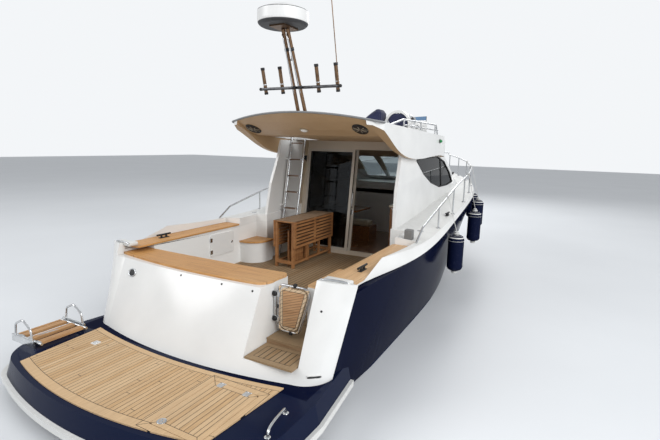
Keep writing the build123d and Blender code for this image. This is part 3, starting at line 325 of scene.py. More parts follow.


# folded table and chairs, in metres: middle of the leaves, and where their slats are; gap bounds the painted shade at
# each leaf slat's edges
slatted = {"x": 3.27, "y": 0.52, "top": 1.328, "pitch": 0.0525, "levelFrom": 1.30, "leavesFrom": 0.93,
           "leafX": (0.032, 0.560), "leafY": 0.1755, "gap": (0.09, 0.70)}


# slatted teak furniture: grain along each slat, seams between slats, weathered grey on its level top, and on the folded
# leaves dark bands at each slat's edges, painted shade of the gaps and rounded edges with some grime
def slatWood(name):
    wood = Finish(name, Specular_IOR_Level=0.35)
    x, y, z = wood.axes()
    pitch = slatted["pitch"]
    top = wood.facing()[2].ramp(0.9, 0.95) * (z > slatted["levelFrom"])
    slat = wood.random((z / pitch).floor() + (x / 0.31).floor() * 7 + (y / pitch).floor() * 3)
    figure = wood.fibres((x + slat * 5, y, z), (6, 90, 90))
    weather = wood.noise(5.0, 5, 0.65)
    colour = wood.mix(figure.ramp(0.3, 0.7), (0.15, 0.060, 0.022), (0.36, 0.165, 0.062))
    colour = wood.mix(slat * 0.3, colour, (0.52, 0.27, 0.11))
    grey = wood.mix(figure.ramp(0.3, 0.7), (0.20, 0.145, 0.095), (0.36, 0.27, 0.185))
    colour = wood.mix(top * (0.55 + 0.4 * weather), colour, grey)
    leaf = (z > slatted["leavesFrom"]) * abs(x - slatted["x"]).within(*slatted["leafX"])
    leaf = leaf * (abs(y - slatted["y"]) > slatted["leafY"])
    # painted shade with some grime: a dark band at the top and foot of each leaf slat, where its gap and rounded edges
    # lie
    drop = ((slatted["top"] - z) / pitch).fract()
    gap = (drop < slatted["gap"][0]).most(drop > slatted["gap"][1]) * leaf
    seam = (((y / pitch).offMiddle() > 0.455) * top).most(gap * 0.85)
    wood.feed("Base Color", wood.mix(seam, colour, (0.03, 0.018, 0.010)))
    wood.feed("Roughness", 0.40 + 0.2 * figure + 0.1 * top)
    wood.bump(figure - seam * 1.5, 0.0006, 0.6)
    return wood


# brushed by use: hazy, finely scratched, with a little tea-coloured staining
def metal(name, colour=(0.62, 0.63, 0.64), shine=0.16, spots=0.12):
    steel = Finish(name, Metallic=1.0)
    haze = steel.noise(11.0, 4)
    fine = steel.noise(260.0, 3)
    tea = steel.noise(5.0, 6, 0.7).ramp(0.62, 0.78)
    clean = steel.patchy(haze, colour, 0.82, 0.3, 0.7)
    steel.feed("Base Color", steel.mix(tea * 0.25, clean, (0.36, 0.27, 0.18)))
    steel.feed("Roughness", shine + spots * haze.ramp(0.4, 0.8) + 0.05 * fine)
    steel.bump(fine, 0.00006, 0.3)
    return steel


# rubber and soft plastic: scuffs lift the colour by half and roughen it
def rubber(name, colour, shine=0.45, bend=1.45):
    soft = Finish(name, IOR=bend)
    scuff = soft.noise(24.0, 6, 0.7)
    fine = soft.noise(420.0, 2)
    paler = tuple(min(1, part * 1.5 + 0.02) for part in colour)
    soft.feed("Base Color", soft.mix(scuff.ramp(0.55, 0.85), colour, paler))
    soft.feed("Roughness", shine + 0.22 * scuff)
    soft.bump(fine, 0.0002, 0.4)
    return soft


# clear glass: a thin uneven film shifts its tint and its roughness a little
def glass(name, colour, shine=0.015, through=1.0, bend=1.45):
    pane = Finish(name, Transmission_Weight=through, IOR=bend)
    film = pane.noise(3.0, 5, 0.7)
    tint = tuple(0.93 * part for part in colour)
    pane.feed("Base Color", pane.mix(film.ramp(0.4, 0.7), tint, colour))
    pane.feed("Roughness", shine + 0.02 * film.ramp(0.5, 0.9))
    return pane


# cabin glass: the side panes near black, the windscreen between them a paler grey-green
def cabinGlass():
    pane = Finish("cabinGlass", Transmission_Weight=0.88, IOR=1.22)
    x, y, z = pane.axes()
    front = 1 - abs(y).ramp(0.98, 1.0)
    film = pane.noise(3.0, 5, 0.7)
    tint = pane.mix(front, (0.005, 0.006, 0.007), (0.34, 0.40, 0.42))
    pane.feed("Base Color", pane.mix(film.ramp(0.4, 0.8) * 0.2, tint, (0.02, 0.022, 0.024)))
    pane.feed("Roughness", 0.02 + 0.02 * film.ramp(0.5, 0.9))
    return pane


# canvas: two crossed threads, faded in soft patches
def canvas(name, colour, faded, pitch=900.0):
    cloth = Finish(name, Sheen_Weight=0.25, Sheen_Roughness=0.5)
    x, y, z = cloth.axes()
    warp = ((x + z) * pitch).sin() * 0.5 + 0.5
    weft = ((y + z * 0.7) * pitch).sin() * 0.5 + 0.5
    weave = warp * weft
    fade = cloth.noise(6.0, 5, 0.6)
    colour = cloth.mix(fade.ramp(0.35, 0.75), colour, faded)
    cloth.feed("Base Color", cloth.mix(weave * 0.35, colour, tuple(0.55 * c for c in faded)))
    cloth.feed("Roughness", 0.82 + 0.1 * fade)
    cloth.bump(weave * 0.3 + cloth.noise(14.0, 4), 0.0016, 0.6)
    return cloth


# leather and vinyl: small cells with pressed edges, over soft patches of a darker colour
def leather(name, colour, shine=0.42):
    hide = Finish(name, Specular_IOR_Level=0.45)
    cells = hide.add("ShaderNodeTexVoronoi", {"feature": "DISTANCE_TO_EDGE"}, {"Vector": hide.place, "Scale": 230.0})
    patch = hide.noise(5.0, 4)
    darker = tuple(0.82 * part for part in colour)
    hide.feed("Base Color", hide.mix(patch.ramp(0.35, 0.7), darker, colour))
    hide.feed("Roughness", shine + 0.15 * patch)
    hide.bump(cells.ramp(0.0, 0.12) + hide.noise(9.0, 3) * 2.0, 0.0007, 0.6)
    return hide


# flybridge, in metres: its well, the ladder hatch, and where its lining lies, whose beige is partly painted shade
flyWell = {"x": (3.07, 4.97), "halfY": 0.97, "foot": 2.63, "soleTop": 2.66}
flyHatch = {"x": (3.09, 3.77), "y": (0.55, 1.04), "top": 2.75}
flyLiningAndShade = {"underTop": 3.02, "skirtTop": 2.97, "skirtY": (0.9, 1.115), "cornerX": 2.6, "cornerY": 1.19,
             "aftX": 2.45, "aftY": 1.05, "aftTop": 2.90, "dark": (0.49, 0.325, 0.175), "light": (0.54, 0.37, 0.21)}


# flybridge moulding: white outside, a beige lining below and inside its skirt that is partly a real lining and partly
# painted shade of the white moulding, diamond non-slip on the well's sole
def flyCoat():
    coat = Finish("flybridgeGelcoat")
    x, y, z = coat.axes()
    faceX, faceY, faceZ = coat.facing()
    wide = abs(y)
    inWell = x.within(*flyWell["x"]) * (wide < flyWell["halfY"]) * (z > flyWell["foot"])
    under = (faceZ < -0.25) * (z < flyLiningAndShade["underTop"])
    corner = (x < flyLiningAndShade["cornerX"]) * (wide < flyLiningAndShade["cornerY"])
    low, high = flyLiningAndShade["skirtY"]
    skirt = (faceY * y < -0.02) * (wide > low) * (wide < high).most(corner)
    skirt = skirt * (z < flyLiningAndShade["skirtTop"]) * (1 - inWell)
    aft = (x < flyLiningAndShade["aftX"]) * (wide < flyLiningAndShade["aftY"]) * (z < flyLiningAndShade["aftTop"])
    skirt = skirt.most((faceZ < 0.3) * (faceX > -0.2) * aft)
    hatch = x.within(*flyHatch["x"]) * y.within(*flyHatch["y"]) * (z < flyHatch["top"])
    # downward faces, the skirt's inward faces and the underside of the aft lip: beige, partly painted shade
    lining = under.most(skirt) * (1 - hatch)
    sole = faceZ.ramp(0.93, 0.97) * inWell * (z < flyWell["soleTop"])
    cloud = coat.noise(1.9, 4)
    dust = coat.noise(34.0, 5, 0.65)
    # the beige of the lining, partly painted shade of the white moulding
    cloth = coat.mix(cloud.ramp(0.3, 0.75), flyLiningAndShade["dark"], flyLiningAndShade["light"])
    colour = coat.mix(lining, coat.patchy(cloud, white), cloth)
    coat.feed("Base Color", coat.mix(sole * 0.8, colour, (0.70, 0.70, 0.68)))
    coat.feed("Roughness", 0.14 + 0.06 * dust + 0.30 * lining + 0.36 * sole)
    coat.bump(dust * 0.25 + coat.diamonds(x, y) * sole, 0.0010, 0.6)
    return coat


riserBoard = {"x": (0.458, 0.482), "y": (-1.278, -0.758), "z": (0.528, 0.584)}


# transom moulding: white gelcoat, and a teak board on the riser below the landing, its dark tone partly painted shade
# under the landing
def transomCoat():
    coat = Finish("transomGelcoat")
    x, y, z = coat.axes()
    riser = x.within(*riserBoard["x"]) * y.within(*riserBoard["y"]) * z.within(*riserBoard["z"])
    cloud = coat.noise(1.7, 4)
    dust = coat.noise(38.0, 5, 0.65)
    figure = coat.fibres((x, y, z), (80, 6, 110), 5)
    # the riser's teak, darker than the teak around it: partly painted shade
    board = coat.mix(figure.ramp(0.3, 0.7), (0.24, 0.14, 0.07), (0.38, 0.25, 0.14))
    coat.feed("Base Color", coat.mix(riser, coat.patchy(cloud, white), board))
    coat.feed("Roughness", 0.12 + 0.10 * cloud.ramp(0.4, 0.8) + 0.08 * dust.ramp(0.5, 0.8) + 0.45 * riser)
    coat.bump(dust, 0.0004, 0.35)
    return coat


# cabin moulding: white outside, a warm lining inside the saloon
def cabinCoat():
    coat = Finish("cabinGelcoat")
    x, y, z = coat.axes()
    faceX, faceY, faceZ = coat.facing()
    inward = (faceY * y < -0.02).most(faceZ < -0.3).most(faceX < -0.5)
    inside = inward * x.within(4.0, 6.35) * (abs(y) < 1.14)
    cloud = coat.noise(1.9, 4)
    dust = coat.noise(34.0, 5, 0.65)
    lining = coat.mix(cloud.ramp(0.3, 0.75), (0.46, 0.38, 0.27), (0.54, 0.45, 0.33))
    coat.feed("Base Color", coat.mix(inside, coat.patchy(cloud, white), lining))
    coat.feed("Roughness", 0.13 + 0.10 * cloud.ramp(0.4, 0.8) + 0.06 * dust + 0.35 * inside)
    coat.bump(dust, 0.0004, 0.4)
    return coat


capBoards = {"width": 0.13, "length": 1.15, "sideY": 1.25, "sideX": 0.55}


# bare teak caps: straight grain along each cap, honey on the transom and paler to starboard, few seams
def capTeak():
    wood = Finish("capTeak", Specular_IOR_Level=0.4)
    x, y, z = wood.axes()
    side = (abs(y) > capBoards["sideY"]) * (x > capBoards["sideX"])
    run = side * x + (1 - side) * y
    across = side * y + (1 - side) * x
    lane = across / capBoards["width"]
    offset = wood.random(lane.floor() + 3.5)
    sway = wood.noise(1.2, 2) * 0.06
    figure = wood.noise(1.0, 6, 0.62, wood.vector(run * 2.4 + offset * 9, (across + sway) * 52, z * 52))
    pores = wood.fibres((run, across, z), (40, 760, 760), 3)
    seam = (lane.offMiddle() > 0.491).most(((run + offset) / capBoards["length"]).offMiddle() > 0.4987)
    honey = wood.mix(figure.ramp(0.30, 0.70), (0.42, 0.19, 0.055), (0.66, 0.36, 0.125))
    pale = wood.mix(figure.ramp(0.30, 0.70), (0.56, 0.34, 0.17), (0.74, 0.51, 0.30))
    colour = wood.mix((y * 0.32 + 0.5).ramp(0.0, 0.45), pale, honey)
    colour = wood.mix(pores.ramp(0.55, 0.75) * 0.35, colour, (0.24, 0.11, 0.035))
    wood.feed("Base Color", wood.mix(seam * 0.65, colour, (0.05, 0.025, 0.012)))
    wood.feed("Roughness", 0.34 + 0.20 * figure)
    wood.bump(figure * 0.3 - pores * 0.3 - seam * 0.8, 0.0006, 0.6)
    return wood


# bright tube, with wood where treads(x, y, z) is 1
def tubeAndTreads(name, treads, light, dark, grain=(6, 90, 90)):
    both = Finish(name)
    x, y, z = both.axes()
    mask = treads(x, y, z)
    figure = both.fibres((x, y, z), grain)
    haze = both.noise(11.0, 4)
    steel = both.mix(haze.ramp(0.3, 0.7), (0.50, 0.51, 0.52), (0.62, 0.63, 0.64))
    both.feed("Base Color", both.mix(mask, steel, both.mix(figure.ramp(0.3, 0.7), dark, light)))
    both.feed("Metallic", 1 - mask)
    both.feed("Roughness", 0.17 + 0.08 * haze + mask * (0.26 + 0.2 * figure))
    both.bump(figure * mask, 0.0006, 0.6)
    return both


# 1 where the ladder to the flybridge is a tread: a stretch of y between its two stiles
def flyLadderTreads(x, y, z):
    return y.within(0.756, 0.979)


# 1 where the boarding ladder is a tread: a stretch of x, and only above z 0.40
def boardingTreads(x, y, z):
    return x.within(-0.544, -0.106) * (z > 0.40)


# side gate, in metres: its corner, the tube's and the border board's width, and its slanting planks
gateLook = {"inner": -0.80, "outer": -1.06, "foot": 0.64, "head": 1.14, "lean": 0.28, "leanLength": 0.963,
            "rim": 0.022, "border": 0.064, "plank": 0.0265, "slope": 0.34, "plug": 0.042}


# side gate: a steel loop, a pale border board with plugs inside it, then thin planks laid aslant
def gateFinish():
    both = Finish("gateSteelAndTeak", Specular_IOR_Level=0.4)
    x, y, z = both.axes()
    slant = (y - gateLook["outer"] + (z - gateLook["foot"]) * gateLook["lean"]) * gateLook["leanLength"]
    edge = (gateLook["inner"] - y).least(gateLook["head"] - z).least(z - gateLook["foot"]).least(slant)
    wood = edge > gateLook["rim"]
    border = wood * (edge < gateLook["border"])
    lifted = z + y * gateLook["slope"]
    lane = lifted / gateLook["plank"]
    plankSeam = (lane.offMiddle() > 0.445) * (1 - border)
    borderSeam = edge.line(gateLook["border"], 0.0025)
    notch = (((y * 0.7 + z) / gateLook["plug"]).offMiddle() > 0.43) * border
    tone = both.random(lane.floor() + 0.5)
    figure = both.fibres((x, y, lifted), (90, 7, 90))
    plank = both.mix(figure.ramp(0.3, 0.7), (0.36, 0.18, 0.08), (0.58, 0.34, 0.17))
    plank = both.mix(tone * 0.3, plank, (0.62, 0.40, 0.22))
    pale = both.mix(figure.ramp(0.3, 0.7), (0.62, 0.46, 0.29), (0.74, 0.58, 0.40))
    plank = both.mix(border, plank, pale)
    plank = both.mix(plankSeam.most(borderSeam).most(notch * 0.7), plank, (0.05, 0.028, 0.015))
    haze = both.noise(11.0, 4)
    steel = both.mix(haze.ramp(0.3, 0.7), (0.34, 0.34, 0.35), (0.46, 0.46, 0.47))
    both.feed("Base Color", both.mix(wood, steel, plank))
    both.feed("Metallic", 1 - wood)
    both.feed("Roughness", 0.14 + 0.08 * haze + wood * 0.30)
    both.bump((figure * 0.3 - plankSeam - borderSeam) * wood, 0.0009, 0.7)
    return both


rackBar = {"x": 2.209, "z": 3.225, "half": 0.0196, "capFrom": 0.585}


# rod rack: a slim dark bar with black ends, steel holders across it whose bronze-brown is a painted reflection
def rackFinish():
    both = Finish("rackFinish", Metallic=1.0)
    x, y, z = both.axes()
    bar = z.line(rackBar["z"], rackBar["half"]) * x.line(rackBar["x"], rackBar["half"])
    cap = bar * (abs(y) > rackBar["capFrom"])
    haze = both.noise(14.0, 5)
    # painted reflection: the steel holders coloured bronze-brown, as they show brown reflections
    holder = both.mix(haze.ramp(0.3, 0.7), (0.13, 0.080, 0.048), (0.24, 0.150, 0.090))
    dark = both.mix(haze.ramp(0.3, 0.7), (0.07, 0.07, 0.075), (0.13, 0.13, 0.135))
    both.feed("Base Color", both.mix(cap, both.mix(bar, holder, dark), (0.012, 0.012, 0.012)))
    both.feed("Roughness", 0.30 + 0.14 * haze + 0.2 * cap)
    both.bump(both.noise(240.0, 3), 0.00008, 0.3)
    return both


radomeShadowLines = {"foot": (3.925, 3.93), "seam": 4.061}


# radome: white dome with a painted shadow round its foot, and a shadow line where the two halves meet
def radomeFinish():
    coat = Finish("radomeGelcoat")
    x, y, z = coat.axes()
    # painted shadow: the foot of the dome is dark, as its underside is in shade
    foot = 1 - z.ramp(*radomeShadowLines["foot"])
    seam = z.line(radomeShadowLines["seam"], 0.004)
    cloud = coat.noise(4.0, 4)
    shell = coat.mix(cloud.ramp(0.3, 0.75), (0.74, 0.74, 0.73), (0.80, 0.80, 0.79))
    coat.feed("Base Color", coat.mix(foot.most(seam), shell, (0.035, 0.036, 0.04)))
    coat.feed("Roughness", 0.26 + 0.12 * cloud + 0.2 * foot)
    coat.bump(coat.noise(120.0, 3) * 0.3 - seam, 0.0006, 0.6)
    return coat


# galley: cream worktop with speckles, varnished fronts below
def galleyFinish():
    both = Finish("galleyFinish", Specular_IOR_Level=0.45)
    x, y, z = both.axes()
    top = z > 1.452
    figure = both.noise(1.0, 6, 0.6, both.vector(x * 46, y * 46, z * 3.0))
    fleck = both.noise(160.0, 2).ramp(0.62, 0.70)
    wood = both.mix(figure.ramp(0.32, 0.68), (0.17, 0.065, 0.025), (0.36, 0.165, 0.065))
    stone = both.mix(fleck * 0.5, (0.68, 0.62, 0.50), (0.36, 0.30, 0.22))
    both.feed("Base Color", both.mix(top, wood, stone))
    both.feed("Roughness", 0.24 + 0.12 * figure)
    both.bump(figure * (1 - top), 0.0004, 0.5)
    return both


# lamp glass: frosted, lit a little from inside
def lampFinish():
    lamp = Finish("lampGlass", Emission_Strength=0.12)
    cloud = lamp.noise(60.0)
    lamp.feed("Base Color", lamp.mix(cloud.ramp(0.3, 0.7), (0.60, 0.58, 0.53), (0.72, 0.70, 0.65)))
    lamp.feed("Roughness", 0.25 + 0.1 * cloud)
    return lamp


# laid rope: its twist is a sine along a line that crosses the rope aslant
def ropeFinish(name, first, second):
    rope = Finish(name, Sheen_Weight=0.2)
    x, y, z = rope.axes()
    strand = rope.fibres((x, y, z), (240, 240, 240), 3)
    twist = ((z + x * 0.7 + y * 0.4) * 520).sin() * 0.5 + 0.5
    rope.feed("Base Color", rope.mix(twist * 0.7 + strand * 0.3, first, second))
    rope.feed("Roughness", 0.75 + 0.15 * strand)
    rope.bump(twist + strand * 0.3, 0.0012, 0.8)
    return rope


# glass of an instrument: black with a faint greenish depth
def screenFinish():
    screen = Finish("instrumentScreen", Specular_IOR_Level=0.6)
    cloud = screen.noise(9.0, 3)
    screen.feed("Base Color", screen.mix(cloud.ramp(0.3, 0.7), (0.010, 0.014, 0.018), (0.020, 0.028, 0.034)))
    screen.feed("Roughness", 0.06 + 0.06 * cloud)
    return screen


finish = {
    "white": gelcoat("whiteGelcoat", white),
    "navy": gelcoat("navyGelcoat", navy, 0.14, 1.13),
    "hull": hullPaint(),
    "deck": deckCoat("deckGelcoat"),
    "fly": flyCoat(),
    "cabin": cabinCoat(),
    "bulkhead": gelcoat("bulkheadCream", (0.66, 0.58, 0.475), 0.3),
    "doorFrame": gelcoat("doorFrameCoat", (0.60, 0.55, 0.48), 0.28),
    "transom": transomCoat(),
    # the sole's tone 0.56 is painted shade: the same teak as the platform, darkened
    "sole": teakDeck("soleTeak", soleMargins, 0.058, 0.0085, 0.56),
    "platform": teakDeck("platformTeak", platformMargins, 0.047, tone=1.10),
    "lid": teakDeck("lidTeak", lidMargins, 0.047, tone=1.10),
    "caps": capTeak(),
    "cabinWood": varnish("cabinWood"),
    "galley": galleyFinish(),
    "slats": slatWood("slattedTeak"),
    "steel": metal("polishedSteel"),
    "aluminium": metal("anodisedAluminium", (0.70, 0.70, 0.69), 0.32, 0.1),
    "galvanised": metal("galvanisedSteel", (0.42, 0.43, 0.44), 0.42, 0.2),
    "propellerBronze": metal("propellerBronze", (0.56, 0.36, 0.15), 0.3, 0.15),
    "bronzePole": metal("bronzePole", (0.22, 0.135, 0.080), 0.34, 0.12),
    "rack": rackFinish(),
    "radome": radomeFinish(),
    "gate": gateFinish(),
    "flyLadder": tubeAndTreads("flyLadderFinish", flyLadderTreads, (0.17, 0.095, 0.05), (0.085, 0.045, 0.024),
                               (90, 6, 90)),
    "boardingLadder": tubeAndTreads("boardingLadderFinish", boardingTreads, (0.56, 0.33, 0.15),
                                    (0.32, 0.16, 0.065)),
    "black": rubber("blackPlastic", (0.012, 0.012, 0.013)),
    "stopGrey": rubber("stopGrey", (0.17, 0.17, 0.168), 0.5),
    "greyTrim": rubber("greyTrim", (0.20, 0.205, 0.21), 0.4),
    "whiteVinyl": rubber("whiteVinyl", (0.70, 0.70, 0.68), 0.35),
    "navyVinyl": rubber("navyVinyl", (0.004, 0.007, 0.028), 0.40, 1.14),
    "speaker": rubber("speakerGrille", (0.045, 0.028, 0.018), 0.6),
    "engine": rubber("enginePaint", (0.05, 0.13, 0.10), 0.4),
    "redLens": rubber("redLens", (0.42, 0.010, 0.008), 0.15),
    "greenLens": rubber("greenLens", (0.008, 0.22, 0.06), 0.15),
    "lamp": lampFinish(),
    "screen": screenFinish(),
    "cabinGlass": cabinGlass(),
    "doorGlass": glass("doorGlass", (0.26, 0.28, 0.30), bend=1.3),
    "blueScreen": glass("blueScreen", (0.15, 0.27, 0.44), 0.04),
    "smoked": glass("smokedAcrylic", (0.06, 0.065, 0.07), 0.06),
    "canvas": canvas("navyCanvas", (0.006, 0.009, 0.038), (0.013, 0.018, 0.070)),
    "towel": canvas("whiteTowel", (0.72, 0.72, 0.70), (0.80, 0.80, 0.79), 500.0),
    "cream": leather("creamLeather", (0.66, 0.58, 0.44)),
    "piping": leather("pipingLeather", (0.50, 0.42, 0.30)),
    "blackLeather": leather("blackLeather", (0.02, 0.02, 0.02)),
    "rope": ropeFinish("whiteRope", (0.40, 0.40, 0.38), (0.72, 0.72, 0.70)),
}

nodeFinish = {
    "hull": "hull", "deck": "deck", "transom": "transom", "bathing_platform": "navy", "rub_rail": "whiteVinyl",
    "platform_teak": "platform", "cockpit_teak": "sole", "teak_caps": "caps", "corner_seat": "white",
    "cabin": "cabin", "cabin_glass": "cabinGlass", "flybridge": "fly", "bulkhead": "bulkhead",
    "fixed_panel": "doorFrame", "fixed_pane": "doorGlass", "sliding_door": "doorFrame", "sliding_pane": "doorGlass",
    "flybridge_ladder": "flyLadder", "mast": "bronzePole", "radome": "radome", "rod_rack": "rack",
    "bow_rail": "steel", "rail_posts": "steel", "flybridge_rails": "steel", "helm_pod": "white",
    "flybridge_screen": "blueScreen", "flybridge_seat": "white", "flybridge_cushions": "canvas",
    "bench_cover": "canvas", "helm_console": "cabinWood", "helm_seat": "steel", "helm_cushions": "cream",
    "galley": "galley", "dinette": "cabinWood", "dinette_cushions": "cream", "saloon_table": "cabinWood",
    "saloon_sole": "cabinWood", "cockpit_table": "slats", "table_leaves": "slats", "folded_chairs": "slats",
    "gate_post": "steel", "ladder_brackets": "steel", "wheel_shafts": "steel", "cleats": "black",
    "anchor": "galvanised", "engines": "engine", "shafts": "steel", "fenders": "navyVinyl", "fender_lines": "rope",
    "locker_door": "white", "side_gate": "gate", "platform_hatch": "lid", "boarding_ladder": "boardingLadder",
    "fore_hatch": "smoked", "helm_wheel": "blackLeather", "flybridge_wheel": "steel",
    "propeller_port": "propellerBronze", "propeller_starboard": "propellerBronze",
    "rudder_port": "propellerBronze", "rudder_starboard": "propellerBronze",
}
# the record's slot for each of some finishes
slots = {
    "steel": "stainless", "black": "black_plastic", "speaker": "black_plastic", "whiteVinyl": "white_vinyl",
    "canvas": "navy_canvas", "cream": "cream_leather", "piping": "cream_leather", "rope": "rope",
    "cabinWood": "cabin_wood", "galvanised": "galvanised", "aluminium": "white_aluminium",
}
for name, label in nodeFinish.items():
    mesh = nodes[name].data
    mesh.materials.clear()
    mesh.materials.append(finish[label].material)
print("finishes on", len(nodeFinish), "nodes")


camera = {"place": (-2.885, -3.227, 2.5), "look": (0.869836, 0.463741, -0.168313), "roll": -1.3248,
          "lens": 24.135, "sensor": 36.0, "farthest": 200.0}


# the camera looks along one direction and is rolled about it
def makeCamera():
    data = bpy.data.cameras.new("photoCamera")
    data.lens = camera["lens"]
    data.sensor_width = camera["sensor"]
    data.clip_end = camera["farthest"]
    item = bpy.data.objects.new("photoCamera", data)
    turn = Vector(camera["look"]).to_track_quat("-Z", "Y") @ Matrix.Rotation(
        -math.radians(camera["roll"]), 3, "Z").to_quaternion()
    item.matrix_world = Matrix.Translation(camera["place"]) @ turn.to_matrix().to_4x4()
    bpy.context.collection.objects.link(item)
    bpy.context.scene.camera = item


lamps = [   # name, place, aims at, size in metres, watts
    ("skyLeft", (-9.0, 12.0, 11.0), (2.5, 0.0, 1.0), 11.0, 1400.0),
    ("skyRight", (-4.0, -13.0, 9.0), (4.0, 0.0, 1.2), 11.0, 1850.0),
    ("bowSide", (17.0, 2.0, 10.0), (5.0, 0.0, 1.5), 9.0, 900.0),
]


# round area lamps, each turned from its place towards its aim
def makeLights():
    for name, place, aim, size, watts in lamps:
        data = bpy.data.lights.new(name, "AREA")
        data.shape = "DISK"
        data.size = size
        data.energy = watts
        item = bpy.data.objects.new(name, data)
        item.location = place
        item.rotation_euler = (Vector(aim) - Vector(place)).to_track_quat("-Z", "Y").to_euler()
        bpy.context.collection.objects.link(item)


room = {"light": (0.90, 0.93, 0.97, 1), "strength": 0.50, "seen": (0.90, 0.92, 0.94, 1), "glossy": 0.5}


# the background shows as near white, half so in reflections, and the light it gives stays soft
def makeWorld():
    world = bpy.data.worlds.new("paleRoom")
    world.use_nodes = True
    bpy.context.scene.world = world
    tree = world.node_tree
    lit = tree.nodes["Background"]
    lit.inputs["Color"].default_value = room["light"]
    lit.inputs["Strength"].default_value = room["strength"]
    seen = tree.nodes.new("ShaderNodeBackground")
    seen.inputs["Color"].default_value = room["seen"]
    path = tree.nodes.new("ShaderNodeLightPath")
    direct, through, glossy = (Value(tree, path.outputs[f"Is {kind} Ray"])
                               for kind in ("Camera", "Transmission", "Glossy"))
    either = direct.most(glossy * room["glossy"]).most(through)
    both = tree.nodes.new("ShaderNodeMixShader")
    tree.links.new(either.socket, both.inputs[0])
    tree.links.new(lit.outputs[0], both.inputs[1])
    tree.links.new(seen.outputs[0], both.inputs[2])
    tree.links.new(both.outputs[0], tree.nodes["World Output"].inputs["Surface"])


# the floor is a wide square at z 0 in softly clouded grey
def makeFloor(half=60.0):
    floor = Finish("floorPaint")
    cloud = floor.noise(0.35, 3)
    floor.feed("Base Color", floor.mix(cloud.ramp(0.3, 0.7), (0.70, 0.72, 0.74), (0.74, 0.76, 0.78)))
    floor.feed("Roughness", 0.42 + 0.1 * cloud)
    corners = [(x * half, y * half, 0) for x, y in ((-1, -1), (1, -1), (1, 1), (-1, 1))]
    mesh = bpy.data.meshes.new("floor")
    mesh.from_pydata(corners, [], [(0, 1, 2, 3)])
    mesh.materials.append(floor.material)
    item = bpy.data.objects.new("floor", mesh)
    bpy.context.collection.objects.link(item)


makeCamera()
makeLights()
makeWorld()
makeFloor()
print("camera, light and floor")


# quads between the rows and columns of a grid of points
def gridFaces(rows, columns, loopRows=False, loopColumns=False):
    r = np.arange(rows if loopRows else rows - 1)[:, None]
    c = np.arange(columns if loopColumns else columns - 1)[None, :]
    rNext, cNext = (r + 1) % rows, (c + 1) % columns
    corners = [r * columns + c, r * columns + cNext, rNext * columns + cNext, rNext * columns + c]
    return np.stack(corners, -1).reshape(-1, 4)


# faces of a grid whose columns close, with its first and last row capped
def cappedFaces(rows, columns):
    faces = gridFaces(rows, columns, False, True).tolist()
    faces.append(list(range(columns))[::-1])
    faces.append(list(range((rows - 1) * columns, rows * columns)))
    return faces


# a vector divided by its length
def unit(vector):
    return vector / np.linalg.norm(vector)


# each value raised to a power, its sign kept: low powers square a circle off
def signedPower(value, power):
    return np.sign(value) * np.abs(value) ** power


# an ellipse round a place, from the vectors of its two half-widths
def ellipse(place, first, second, count):
    turn = np.linspace(0, 2 * np.pi, count, endpoint=False)[:, None]
    return np.asarray(place, float) + np.cos(turn) * first + np.sin(turn) * second


# straight sides between corners, count points to a side, round to the first again
def sidesOf(corners, count, first=0):
    pairs = zip(corners, np.roll(corners, -1, 0))
    return np.concatenate([np.linspace(a, b, count, endpoint=False)[first:] for a, b in pairs])


# one piece from points and faces, with its finish, its body and the CAD nodes it stands for
def addPiece(name, points, faces, label, body, replaced=(), bevel=0.0, smooth=True, subdivide=0):
    mesh = bpy.data.meshes.new(name)
    mesh.from_pydata(np.asarray(points, float).reshape(-1, 3).tolist(), [], [list(face) for face in faces])
    mesh.materials.append(finish[label].material)
    mesh.polygons.foreach_set("use_smooth", np.full(len(mesh.polygons), smooth))
    mesh.update()
    item = bpy.data.objects.new(name, mesh)
    bpy.context.collection.objects.link(item)
    if bevel:
        edge = item.modifiers.new("softEdge", "BEVEL")
        edge.width, edge.segments, edge.limit_method = bevel, 2, "ANGLE"
        edge.harden_normals = False
    if subdivide:
        more = item.modifiers.new("rounder", "SUBSURF")
        more.levels = more.render_levels = subdivide
    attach(item, body)
    label in slots
    if replaced:
        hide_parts(*replaced)
    return item


# several shapes, each points and faces, as one piece
def gather(shapes):
    starts = np.cumsum([0] + [len(points.reshape(-1, 3)) for points, _ in shapes])
    points = np.concatenate([points.reshape(-1, 3) for points, _ in shapes])
    faces = []
    for start, (_, part) in zip(starts, shapes):
        faces += [[index + int(start) for index in face] for face in part]
    return points, faces


# several shapes as one piece
def join(name, shapes, label, body="boat"):
    return addPiece(name, *gather(shapes), label, body)


# corners joined by one smooth line: each point between is a cubic blend of its four neighbours
def smoothLine(corners, steps=8, closed=False):
    p = np.asarray(corners, float)
    if closed:
        before, after, beyond = np.roll(p, 1, 0), np.roll(p, -1, 0), np.roll(p, -2, 0)
        start = p
    else:
        padded = np.vstack([2 * p[0] - p[1], p, 2 * p[-1] - p[-2]])
        before, start, after, beyond = padded[:-3], padded[1:-2], padded[2:-1], padded[3:]
    t = np.linspace(0, 1, steps, endpoint=False)[None, :, None]
    a, b, c, d = (item[:, None, :] for item in (before, start, after, beyond))
    line = 0.5 * (2 * b + (c - a) * t + (2 * a - 5 * b + 4 * c - d) * t ** 2 + (3 * b - a - 3 * c + d) * t ** 3)
    line = line.reshape(-1, 3)
    return line if closed else np.vstack([line, p[-1]])


